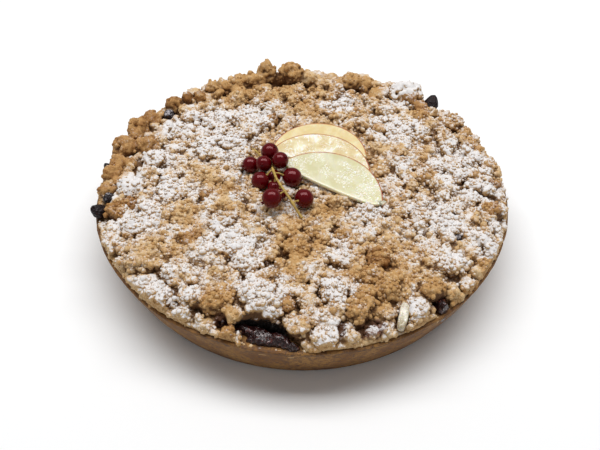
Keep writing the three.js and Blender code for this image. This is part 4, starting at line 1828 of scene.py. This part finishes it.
    @staticmethod
    def is_free(x: float, y: float, radius: float) -> bool:
        """Tells whether a lump may lie here, clear of the toppings and the cave.

        Args:
            x: Its place across.
            y: Its place in depth.
            radius: Its radius.

        Returns:
            True where it may.
        """
        for cut in SLICES:
            across, deep = cut.local(x, y)
            if -radius - 2.5 < deep < cut.depth + radius and abs(across) < cut.half + radius:
                return False
        near_currant = any(math.hypot(x - c.x, y - c.y) < 0.75 * c.radius + radius for c in CURRANTS)
        near_stem = any(math.hypot(x - sx, y - sy) < 3 + radius for sx, sy, _ in STEM_POINTS)
        near_cave = math.hypot((x - JAM_CAVE.x) / 16, (y - JAM_CAVE.y) / 7) < 1
        return not (near_currant or near_stem or near_cave)

    def make_lumps(self) -> tuple[Mesh, Crumbs]:
        """Makes the large lumps.

        Returns:
            The mesh, and the crumbs that it was fused from.
        """
        crumbs, cores = Crumbs(), []
        named = [Lump(*lump, tone) for tone, lumps in LUMPS.items() for lump in lumps]
        for lump in (*named, *self.scattered_lumps()):
            self.add_clump(crumbs, cores, lump)
        skin = join([*cores, crumbs.skin(self.draw, 1, self.knock)])
        return fuse("crumble_lumps", skin, self.lump_voxel, self.lump_budget), crumbs

    def make_loose(self, sky: SkyMap) -> tuple[Mesh, Crumbs]:
        """Scatters loose crumbs over the bed and the lumps.

        Args:
            sky: The heights that they lie on.

        Returns:
            The mesh, and its crumbs.
        """
        draw, crumbs = self.draw, Crumbs()
        tries = 3 * self.loose_crumbs
        reach = self.loose_reach * np.sqrt(draw.uniform(size=tries))
        angle = draw.uniform(0, 2 * np.pi, tries)
        x, y = reach * np.cos(angle), reach * np.sin(angle)
        keep = (self.ceiling(x, y) == np.inf) & ~self.in_hollow(x, y, 1.1)
        x, y = x[keep][: self.loose_crumbs], y[keep][: self.loose_crumbs]
        radii = self.loose_crumb.draw(draw, len(x))
        z = sky.height(x, y) - 0.1 * radii
        crumbs.add(np.stack([x, y, z], axis=1), radii[:, None] * draw.uniform(0.7, 1.3, (len(x), 3)))
        vertices, faces = crumbs.skin(draw, 2, 0.13)
        return make_mesh("crumble_crumbs", vertices, [faces]), crumbs

    def make_grains(self, meshes: Sequence[Mesh]) -> list[tuple[Mesh, Crumbs]]:
        """Sets single grains of dough into the surface of the bed and the lumps, close together.

        Args:
            meshes: The bed and the lumps.

        Returns:
            A mesh for each size of grain, with its grains.
        """
        draw = self.draw
        places, normals = (np.concatenate(rows) for rows in zip(*(self.spread(mesh) for mesh in meshes)))
        order = draw.permutation(len(places))
        places, normals = places[order], normals[order]
        cells = np.floor(places / self.grain_pitch).astype(np.int64) @ np.array([1, 4096, 4096**2])
        first = np.unique(cells, return_index=True)[1]
        places, normals = places[first], normals[first]
        x, y, z = places.T
        upward = (normals[:, 2] > -0.3) & (z > 27.5) & (z < self.ceiling(x, y) - 0.6)
        melted = (draw.uniform(size=len(x)) < 0.8) & self.is_melted(x, y)
        keep = upward & ~self.in_hollow(x, y, 1.0) & ~melted
        inward = FORM.inward(x, y)[keep]
        places, normals = places[keep], normals[keep]
        radii = self.grain.draw(draw, len(places))
        at_edge, elsewhere = (draw.uniform(*limits, len(places)) for limits in ((-0.6, -0.25), (-0.65, 0.1)))
        sunk = np.where(inward < 0.9, at_edge, elsewhere)
        centres = places + normals * (radii * sunk)[:, None]
        made = []
        for name, low, high in self.grain_kinds:
            found = np.flatnonzero((radii >= low) & (radii < high))
            chosen = draw.permutation(found)[: self.grain_limit]
            grains = Crumbs()
            grains.add(centres[chosen], radii[chosen, None] * draw.uniform(0.75, 1.25, (len(chosen), 3)))
            vertices, faces = grains.skin(draw, 1, 0.1)
            made.append((make_mesh(name, vertices, [faces]), grains))
            log.info("%s: %d grains of %d", name, len(chosen), len(found))
        return made

    def spread(self, mesh: Mesh) -> tuple[Array, Array]:
        """Picks places all over a mesh, more of them on larger faces.

        Args:
            mesh: The mesh, in triangles.

        Returns:
            Places and normals, one row for each.
        """
        corners_of = np.empty(len(mesh.loops), np.int32)
        mesh.loops.foreach_get("vertex_index", corners_of)
        points = read_mesh(mesh)[0][corners_of.reshape(-1, 3)]
        across = np.cross(points[:, 1] - points[:, 0], points[:, 2] - points[:, 0])
        size = np.linalg.norm(across, axis=1)
        count = int(2.4 * size.sum() / self.grain_pitch**2)
        chosen = self.draw.choice(len(size), count, p=size / size.sum())
        u, v = self.draw.uniform(size=(2, count, 1))
        over = u + v > 1
        u, v = np.where(over, 1 - u, u), np.where(over, 1 - v, v)
        a, b, c = (points[chosen, k] for k in range(3))
        return a + u * (b - a) + v * (c - a), across[chosen] / np.maximum(size[chosen, None], 1e-9)

    @staticmethod
    def is_melted(x: Array, y: Array) -> Array:
        """Whether the crumbs ran smooth here, as they did at the back and on the left rim."""
        return (np.hypot(x, y) > 93) & ((y > 66) | ((x < -80) & (y > -14)))

    # -------- dressing

    def browning(self, brown: Array, places: Array) -> Array:
        """Fills in the browning where it follows the surroundings."""
        near_bare = self.dusting.near(BARE_PLACES, places[:, 0], places[:, 1])
        around = 0.2 + 0.16 * near_bare + 0.2 * lattice_noise(places, 7, 61)
        return np.where(np.isnan(brown), around, brown)

    def bake(self, mesh: Mesh, crumbs: Crumbs, sky: SkyMap) -> None:
        """Writes how each vertex of a fused mesh has baked and how much sugar lies on it.

        Args:
            mesh: The mesh.
            crumbs: The crumbs that it was made from.
            sky: The heights round it.
        """
        places, _ = read_mesh(mesh)
        brown, sugar = crumbs.look_up(places)
        brown = self.browning(brown, places) + 0.14 * lattice_noise(places, 2.4, 62)
        self.dress(mesh, brown, sugar, sky)

    def bake_grains(self, mesh: Mesh, grains: Crumbs, under: Crumbs, sky: SkyMap) -> None:
        """Writes how each grain has baked and how much sugar lies on it.

        Args:
            mesh: The grains' mesh.
            grains: The grains.
            under: The crumbs that they lie on.
            sky: The heights round them.
        """
        centres = np.concatenate(grains.centres)
        each = len(mesh.vertices) // len(centres)
        brown, sugar = under.look_up(centres)
        brown = self.browning(brown, centres) + self.draw.uniform(-0.2, 0.24, len(centres))
        shift = self.draw.uniform(-0.2, 0.2, len(centres))
        brown, sugar, shift = (np.repeat(values, each) for values in (brown, sugar, shift))
        self.dress(mesh, brown, sugar, sky, shift)

    def dress(self, mesh: Mesh, brown: Array, sugar: Array, sky: SkyMap, shift: Array | float = 0.0) -> None:
        """Writes browning, sugar, painted shade and jam stains on a mesh of crumbs.

        Args:
            mesh: The mesh.
            brown: Browning by vertex.
            sugar: Sugar by vertex, with not-a-number where it follows the surroundings.
            sky: The heights round it.
            shift: More or less sugar than the surroundings have.
        """
        places, normals = read_mesh(mesh)
        x, y, z = places.T
        open_sky = sky.openness(places)
        amount = self.dusting.amount(x, y)
        sugar = np.where(np.isnan(sugar), amount, 0.65 * sugar + 0.35 * amount) + shift
        facing = smooth_step(normals[:, 2], 0.0, 0.75)
        settled = smooth_step(open_sky, 0.3, 0.75)
        # Painted shadow: marks the inside of the cave over the jam, to be painted near black.
        cave_shadow_share = 1 - smooth_step(JAM_CAVE.reach(x, y), 1.1, 1.5)
        cave_shadow_share *= 1 - smooth_step(z + 3 * normals[:, 2], CAVE_MIDDLE + 4, CAVE_MIDDLE + 6.5)
        stain = np.zeros(len(x))
        for stained in STAINS:
            stain = np.maximum(stain, 1 - smooth_step(stained.reach(x, y), 0.6, 1.2))
        # Painted shade: darker where a place sees little sky, less so at the tin's edge; it goes into the
        # hollow mark.
        deep = 1 - smooth_step(open_sky, 0.25, 0.92)
        deep *= 0.2 + 0.8 * smooth_step(FORM.inward(x, y), 0.8, 4)
        set_attribute(mesh, "brown", np.clip(brown, 0, 1))
        set_attribute(mesh, "sugar", np.maximum(sugar, 0) * facing * (0.3 + 0.7 * settled))
        # The hollow mark holds painted shade: up to 1 in crevices, and 1.8 for the cave's painted shadow.
        set_attribute(mesh, "hollow", np.maximum(deep, 1.8 * cave_shadow_share))
        set_attribute(mesh, "stain", stain * (1 - smooth_step(z, 38, 40)))

    def build(self) -> list[Object]:
        """Makes the crumble's pieces.

        Returns:
            Bed, lumps, loose crumbs and grains.
        """
        made = [self.make_bed(), self.make_lumps()]
        surfaces = []
        for mesh, _ in made:
            places, normals = read_mesh(mesh)
            crags = 0.13 * lattice_noise(places, 1.1, 71) + 0.1 * lattice_noise(places, 2.3, 72)
            places = self.trim(places + normals * crags[:, None])
            mesh.vertices.foreach_set("co", places.astype(np.float32).ravel())
            mesh.update()
            surfaces.append(places)
        under = Crumbs.together([crumbs for _, crumbs in made])
        grains = self.make_grains([mesh for mesh, _ in made])
        sky = SkyMap(np.concatenate([*surfaces, *(read_mesh(mesh)[0] for mesh, _ in grains)]))
        made.append(self.make_loose(sky))
        for mesh, crumbs in made:
            self.bake(mesh, crumbs, sky)
        for mesh, crumbs in grains:
            self.bake_grains(mesh, crumbs, under, sky)
        material = self.finish.material()
        pieces = []
        for mesh, _ in (*made, *grains):
            pieces.append(make_piece(mesh, [material], ["crumble"] if not pieces else []))
        return pieces


# ---------------- apple


@dataclass
class AppleFan:
    """Three slices of apple, each lying on the one behind."""

    samples: int = 72
    insets: int = 14
    edge_round: float = 0.45
    cut_round: float = 0.9
    tip_trim: float = 0.25
    spine: float = 0.86
    peel_width: float = 0.85
    band_width: float = 2.4
    core_depth: float = 14
    ray_width: float = 36
    ray_stretch: float = 0.28
    finishes: tuple[AppleFinish, ...] = (
        AppleFinish(
            "apple_flesh_back", srgb(226, 204, 146), roughness=0.45, wet=0.1, painted_glints=0,
            inner=srgb(236, 222, 176), fibre_glare_streaks=0.05, relief=0.15,
        ),
        AppleFinish(
            "apple_flesh_middle", srgb(222, 200, 148), roughness=0.25, wet=1.0, painted_glints=0.6, fibre_glare_streaks=1.0
        ),
        AppleFinish(
            "apple_flesh_front", srgb(214, 208, 162), roughness=0.3, wet=0.9, painted_glints=0.95,
            inner=srgb(228, 224, 190), fibre_glare_streaks=0.15,
        ),
    )  # fmt: skip

    def slice_mesh(self, cut: SliceForm) -> Mesh:
        """Makes one slice, with rounded edges and a mark for the peel.

        Args:
            cut: Its form.

        Returns:
            The mesh.
        """
        across = -np.cos(np.linspace(0, np.pi, self.samples)) * (cut.half - self.tip_trim)
        share = across / cut.half
        past = np.maximum(np.abs(across) - cut.half + cut.tip_round, 0)
        chord = cut.tip_round - np.sqrt(cut.tip_round**2 - past**2) - cut.bulge * (1 - share**2)
        arc = cut.depth - cut.radius + np.sqrt(np.maximum(cut.radius**2 - across**2, 0))
        arc[[0, -1]] = chord[[0, -1]] = ((arc + chord) / 2)[[0, -1]]
        middle = (chord + arc) / 2
        outline_x, outline_y, middle_y = (
            np.concatenate([there, back[-2:0:-1]])
            for there, back in ((across, across), (chord, arc), (middle, middle))
        )
        round_edge = np.concatenate([np.zeros(self.samples), np.ones(self.samples - 2)])
        round_edge[[0, self.samples - 1]] = 0.5
        spine_x = outline_x * self.spine
        rows, marks, bands = [], [], []
        shares = np.concatenate([[0], np.linspace(0, 1, self.insets) ** 1.6 * 0.98 + 0.01])
        reach = np.hypot(outline_x - spine_x, outline_y - middle_y)
        rounding = self.cut_round + (self.edge_round - self.cut_round) * round_edge
        for side in (-1, 1):
            for part in shares[::-1] if side < 0 else shares:
                x = outline_x + (spine_x - outline_x) * part
                y = outline_y + (middle_y - outline_y) * part
                inset = np.minimum(part * reach / rounding, 1)
                half = cut.thickness / 2 - rounding * (1 - np.sqrt(1 - (1 - inset) ** 2))
                rows.append(np.stack([x, y, cut.thickness / 2 + side * half], axis=1))
                width = self.peel_width if side > 0 else 4 * self.peel_width
                marks.append(round_edge * (1 - smooth_step(part * reach, width * 0.6, width * 1.3)))
                bands.append((1 - round_edge) * (1 - smooth_step(part * reach, 0.8, self.band_width)))
        columns = len(outline_x)
        quads = grid_faces(len(rows), columns, closed=True)
        caps = []
        for start, flip in ((0, True), ((len(rows) - 1) * columns, False)):
            ahead = np.arange(0, self.samples - 1)
            back = (columns - ahead) % columns
            back_next = (columns - ahead - 1) % columns
            quad = np.stack([ahead, ahead + 1, back_next, back], axis=1)
            caps.append((quad[:, ::-1] if flip else quad) + start)
        vertices = np.concatenate(rows)
        local = vertices.copy()
        vertices[:, 2] += 0.12 * plan_noise(local[:, 0], local[:, 1], 6, 81) * (local[:, 2] > 1.2)
        mesh = make_mesh(cut.node + "_cut", vertices, [quads, *caps])
        bm = bmesh.new()
        bm.from_mesh(mesh)
        bmesh.ops.recalc_face_normals(bm, faces=bm.faces)
        bm.to_mesh(mesh)
        bm.free()
        set_attribute(mesh, "peel", np.concatenate(marks))
        set_attribute(mesh, "band", np.concatenate(bands))
        from_core = local[:, 1] + self.core_depth
        set_attribute(mesh, "ray", np.arctan2(local[:, 0], from_core) * self.ray_width * MM)
        set_attribute(mesh, "deep", np.hypot(local[:, 0], from_core) * self.ray_stretch * MM)
        mesh.transform(cut.matrix())
        return mesh

    def build(self) -> list[Object]:
        """Makes the slices.

        Returns:
            The pieces, from the back one to the front one.
        """
        pieces = []
        for cut, finish in zip(SLICES, self.finishes):
            pieces.append(make_piece(self.slice_mesh(cut), [finish.material()], [cut.node]))
        return pieces


@dataclass
class AppleStub:
    """A stub of baked apple that pokes out of the crumble at the front."""

    seat: Hollow = STUB_SEAT
    z: float = 36.8
    length: float = 15
    width: float = 5
    height: float = 6
    turn: float = math.radians(-17)
    finish: AppleFinish = AppleFinish(
        "baked_apple", srgb(176, 160, 126), 0.6, wet=0.1, painted_glints=0.5, inner=srgb(204, 196, 176)
    )

    def build(self) -> Object:
        """Makes the stub.

        Returns:
            The piece.
        """
        unit, faces = ball(5)
        boxy = unit / (np.abs(unit) ** 5).sum(axis=1, keepdims=True) ** (1 / 5)
        halves = np.array([self.width / 2, self.length / 2, self.height / 2])
        vertices = boxy * halves
        vertices[:, 0] *= 1 - 0.3 * unit[:, 1]
        vertices[:, 2] *= 1 - 0.2 * unit[:, 1]
        vertices *= 1 + 0.07 * lattice_noise(vertices, 2.6, 91)[:, None]
        placed = vertices @ turn_about_up(self.turn + math.pi) + (self.seat.x, self.seat.y, self.z)
        mesh = make_mesh("apple_chunk_baked", placed, [faces])
        set_attribute(mesh, "peel", 0.3 * smooth_step(unit[:, 0], 0.6, 0.95))
        set_attribute(mesh, "band", np.zeros(len(unit)))
        set_attribute(mesh, "ray", vertices[:, 0] * MM)
        set_attribute(mesh, "deep", vertices[:, 1] * 0.3 * MM)
        return make_piece(mesh, [self.finish.material()], ["apple_chunk"])


# ---------------- redcurrants


def smooth_path(points: Array, count: int) -> Array:
    """Runs a smooth curve through points.

    Args:
        points: The points.
        count: How many places to give.

    Returns:
        Places evenly spread along the curve.
    """
    ends = np.concatenate([[2 * points[0] - points[1]], points, [2 * points[-1] - points[-2]]])
    dense = []
    for k in range(1, len(ends) - 2):
        a, b, c, d = ends[k - 1 : k + 3]
        before, inside, after = (math.sqrt(np.linalg.norm(step)) for step in (b - a, c - b, d - c))
        leaving = ((b - a) / before - (c - a) / (before + inside) + (c - b) / inside) * inside
        arriving = ((c - b) / inside - (d - b) / (inside + after) + (d - c) / after) * inside
        for t in np.linspace(0, 1, 24, endpoint=False):
            turn = (2 * b - 2 * c + leaving + arriving) * t**3
            dense.append(b + leaving * t + (3 * c - 3 * b - 2 * leaving - arriving) * t**2 + turn)
    dense = np.array([*dense, points[-1]])
    along = np.concatenate([[0], np.cumsum(np.linalg.norm(np.diff(dense, axis=0), axis=1))])
    wanted = np.linspace(0, along[-1], count)
    return np.stack([np.interp(wanted, along, dense[:, k]) for k in range(3)], axis=1)


def tube(path: Array, radii: Array, sides: int) -> Skin:
    """Makes a closed tube along a path.

    Args:
        path: Its middle line.
        radii: Its radius at each place.
        sides: How many sides it has.

    Returns:
        Its vertices and triangles.
    """
    along = np.gradient(path, axis=0)
    along /= np.linalg.norm(along, axis=1, keepdims=True)
    up = np.array([0.17, 0.31, 0.94])
    side = np.cross(along, up)
    side /= np.linalg.norm(side, axis=1, keepdims=True)
    over = np.cross(side, along)
    angles = 2 * np.pi * np.arange(sides) / sides
    ring = side[:, None] * np.cos(angles)[None, :, None] + over[:, None] * np.sin(angles)[None, :, None]
    ends = path[0] - along[0] * radii[0] * 0.5, path[-1] + along[-1] * radii[-1] * 0.5
    return cap(path[:, None] + ring * radii[:, None, None], *ends)


@dataclass
class RedcurrantSprig:
    """A sprig of redcurrants: the stem, its stalks, and the berries with their dried flower tips."""

    rows: int = 30
    sides: int = 44
    sepals: int = 6
    stem_radius: float = 0.65
    stalk_radius: float = 0.42
    finish: CurrantFinish = CurrantFinish()
    stem_finish: StalkFinish = StalkFinish("currant_stem_green", srgb(206, 176, 92), srgb(150, 118, 52))
    tip_finish: StalkFinish = StalkFinish("currant_tip_dried", srgb(96, 66, 44), srgb(42, 24, 20), 0.8)

    def berry(self, currant: Currant, away: Vector, name: str, seed: int) -> Mesh:
        """Makes one berry.

        Args:
            currant: Where it is and how large.
            away: Which way its flower tip points.
            name: The mesh's name.
            seed: Picks its unevenness.

        Returns:
            The mesh, with the tip's faces on the second material.
        """
        polar = np.linspace(0, np.pi, self.rows)[1:-1]
        azimuth = 2 * np.pi * np.arange(self.sides) / self.sides
        theta, phi = np.meshgrid(polar, azimuth, indexing="ij")
        ribs = 1 - 0.006 * (1 - np.abs(np.sin(4.5 * phi + seed)) ** 0.5) * np.sin(theta) ** 2
        dimple = 1 - 0.05 * np.exp(-((theta / 0.22) ** 2)) - 0.06 * np.exp(-(((np.pi - theta) / 0.25) ** 2))
        radius = currant.radius * ribs * dimple
        rings = np.stack([np.sin(theta) * np.cos(phi), np.sin(theta) * np.sin(phi), np.cos(theta)], axis=-1)
        poles = np.array([[0, 0, 0.95], [0, 0, -0.94]]) * currant.radius
        skin = cap(rings * radius[..., None], *poles)
        vein = (1 - np.abs(np.sin(4.5 * phi + seed)) ** 0.35) * np.sin(theta)
        tip = self.flower_tip(currant.radius, seed)
        vertices, faces = join([skin, tip])
        mesh = make_mesh(name, vertices, [faces])
        numbers = np.zeros(len(mesh.polygons), np.int32)
        numbers[len(skin[1]) :] = 1
        mesh.polygons.foreach_set("material_index", numbers)
        set_attribute(mesh, "vein", np.concatenate([[0], vein.ravel(), np.zeros(1 + len(tip[0]))]))
        upright = Vector((0, 0, 1)).rotation_difference(away).to_matrix().to_4x4()
        mesh.transform(Matrix.Translation(tuple(currant.centre)) @ upright)
        return mesh

    def flower_tip(self, radius: float, seed: int) -> Skin:
        """Makes the dried flower tip: a small ring with withered sepals.

        Args:
            radius: The berry's radius.
            seed: Picks its unevenness.

        Returns:
            Its vertices and triangles.
        """
        draw = np.random.default_rng(seed)
        ring = np.array([[0, 0, radius * share] for share in (0.9, 0.97, 1.04)])
        skins = [tube(ring, radius * np.array([0.13, 0.16, 0.13]), 10)]
        for k in range(self.sepals):
            angle = 2 * np.pi * k / self.sepals + draw.uniform(-0.3, 0.3)
            way = np.array([math.cos(angle), math.sin(angle), 0])
            length = radius * draw.uniform(0.12, 0.2)
            path = np.array([way * radius * 0.08 + (0, 0, radius)] * 3)
            path[1] += way * length * 0.35 + np.array([0, 0, length * 0.6])
            path[2] += way * length * draw.uniform(0.1, 0.6) + np.array([0, 0, length])
            skins.append(tube(path, radius * np.array([0.05, 0.045, 0.012]), 5))
        return join(skins)

    def stem_skin(self) -> tuple[Skin, Array]:
        """Makes the stem with its stalks.

        Returns:
            The skin and the stem's middle line.
        """
        path = smooth_path(STEM_POINTS, 110)
        share = np.linspace(0, 1, len(path))
        radii = self.stem_radius * (0.86 + 0.26 * share)
        for currant in CURRANTS:
            radii = radii + 0.22 * np.exp(-(((share - currant.share) / 0.012) ** 2))
        skins = [tube(path, radii, 12)]
        for currant in CURRANTS:
            root = path[int(round(currant.share * (len(path) - 1)))]
            way = currant.centre - root
            way = way / np.linalg.norm(way)
            end = currant.centre - way * (currant.radius * 0.96)
            bow = np.array([0, 0, 0.12 * np.linalg.norm(end - root)])
            stalk = smooth_path(np.array([root, (root + end) / 2 + bow, end]), 14)
            taper = self.stalk_radius * (1 + 0.7 * np.linspace(0, 1, 14) ** 6)
            skins.append(tube(stalk, taper, 8))
        return join(skins), path

    def build(self) -> list[Object]:
        """Makes the sprig.

        Returns:
            The berries and the stem.
        """
        (vertices, faces), path = self.stem_skin()
        materials = [self.finish.material(), self.tip_finish.material()]
        pieces = []
        for k, currant in enumerate(CURRANTS, 1):
            root = path[int(round(currant.share * (len(path) - 1)))]
            away = Vector(currant.centre - root).normalized()
            mesh = self.berry(currant, away, f"currant_{k}_ripe", k)
            pieces.append(make_piece(mesh, materials, [f"currant_{k}"]))
        stem = make_mesh("currant_stem_fresh", vertices, [faces])
        pieces.append(make_piece(stem, [self.stem_finish.material()], ["currant_stem"]))
        return pieces


# ---------------- dark berries


@dataclass
class BakedBerries:
    """Dark berries that baked and burst along the rim."""

    shrivel: float = 0.15
    finish: DarkBerryFinish = DarkBerryFinish()

    def berry(self, form: DarkBerry, seed: int) -> Mesh:
        """Makes one berry.

        Args:
            form: Where it is, and its shape.
            seed: Picks its wrinkles.

        Returns:
            The mesh.
        """
        unit, faces = ball(5)
        lean = math.radians(form.lean)
        towards = np.array([math.cos(lean), math.sin(lean), 1.2])
        towards /= np.linalg.norm(towards)
        ridges = 1 - np.abs(lattice_noise(unit + seed * 7.3, 0.42, 101))
        creases = 1 - np.abs(lattice_noise(unit + seed * 3.1, 0.2, 102))
        swell = 1 + self.shrivel * (ridges - 0.7) + 0.4 * self.shrivel * (creases - 0.7)
        vertices = unit * (form.radius * swell)[:, None] * (1, 1, 0.92)
        along = np.maximum(0, unit @ towards)
        vertices = vertices + towards * (form.radius * form.tip * along**4)[:, None]
        mesh = make_mesh(form.node + "_baked", vertices + (form.x, form.y, form.z), [faces])
        set_attribute(mesh, "sugar", 0.6 * form.sugar * smooth_step(unit[:, 2], 0.1, 0.8))
        return mesh

    def build(self) -> list[Object]:
        """Makes the berries.

        Returns:
            The pieces.
        """
        material = self.finish.material()
        pieces = []
        for seed, form in enumerate(DARK_BERRIES):
            pieces.append(make_piece(self.berry(form, seed), [material], [form.node]))
        return pieces


# ---------------- studio


@dataclass
class Studio:
    """A plain pale floor, soft light from above, and the camera."""

    lens: float = 45
    sensor: float = 36
    elevation: float = math.radians(44.55477)
    roll: float = math.radians(0.33457)
    distance: float = 432.077
    target: Point = (-1.29035, -24.6536, 25)
    floor_half: float = 3000
    sky: float = 0.27
    panel_glow: float = 5.0
    panel_place: Point = (0, 0.3, 1.5)
    panel_size: tuple[float, float] = (2.1, 0.8)
    finish: TableFinish = TableFinish()

    def camera(self) -> None:
        """Sets up the camera that took the whole tart from the front."""
        data = bpy.data.cameras.new("camera")
        data.lens, data.sensor_width = self.lens, self.sensor
        data.clip_start, data.clip_end = 0.01, 20
        back = Vector((0, -math.cos(self.elevation), math.sin(self.elevation)))
        right = Vector((1, 0, 0))
        up = back.cross(right)
        cos, sin = math.cos(self.roll), math.sin(self.roll)
        matrix = Matrix((right * cos + up * sin, up * cos - right * sin, back)).transposed().to_4x4()
        matrix.translation = (Vector(self.target) + back * self.distance) * MM
        camera = add_object("camera", data)
        camera.matrix_world = matrix
        bpy.context.scene.camera = camera

    def floor(self) -> None:
        """Lays the floor."""
        half = self.floor_half * MM
        square = np.array([[-half, -half, 0], [half, -half, 0], [half, half, 0], [-half, half, 0]])
        floor = add_object("floor", make_mesh("floor", square, [np.array([[0, 1, 2, 3]])]))
        floor.data.materials.append(self.finish.material())

    def lights(self) -> None:
        """Lights the scene: an even sky, and one wide soft panel above, a little towards the back."""
        world = bpy.data.worlds.new("studio")
        world.use_nodes = True
        background = world.node_tree.nodes["Background"]
        background.inputs["Color"].default_value = (1, 1, 1, 1)
        background.inputs["Strength"].default_value = self.sky
        bpy.context.scene.world = world
        width, depth = self.panel_size
        light = bpy.data.lights.new("panel", "AREA")
        light.shape, light.size, light.size_y = "RECTANGLE", width, depth
        light.energy = self.panel_glow * math.pi * width * depth
        panel = add_object("panel", light)
        panel.location = self.panel_place
        panel.rotation_mode = "QUATERNION"
        panel.rotation_quaternion = Vector((0, 0, -1)).to_track_quat("-Z", "Y")

    def build(self) -> None:
        """Sets up camera, floor and lights."""
        self.camera()
        self.floor()
        self.lights()
        settings = bpy.context.scene.view_settings
        settings.view_transform, settings.look = "Standard", "None"


# ---------------- the tart


def main() -> None:
    """Builds the tart round its frame, piece by piece."""
    logging.basicConfig(level=logging.INFO, format="%(name)s: %(message)s", stream=sys.stdout)
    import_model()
    toppings = AppleFan(), AppleStub(), RedcurrantSprig(), BakedBerries()
    for part in (Studio(), PastryShell(), JamFilling(), CrumbleTopping(), *toppings):
        part.build()
        log.info("built %s", type(part).__name__)


if __name__ == "__main__":
    main()
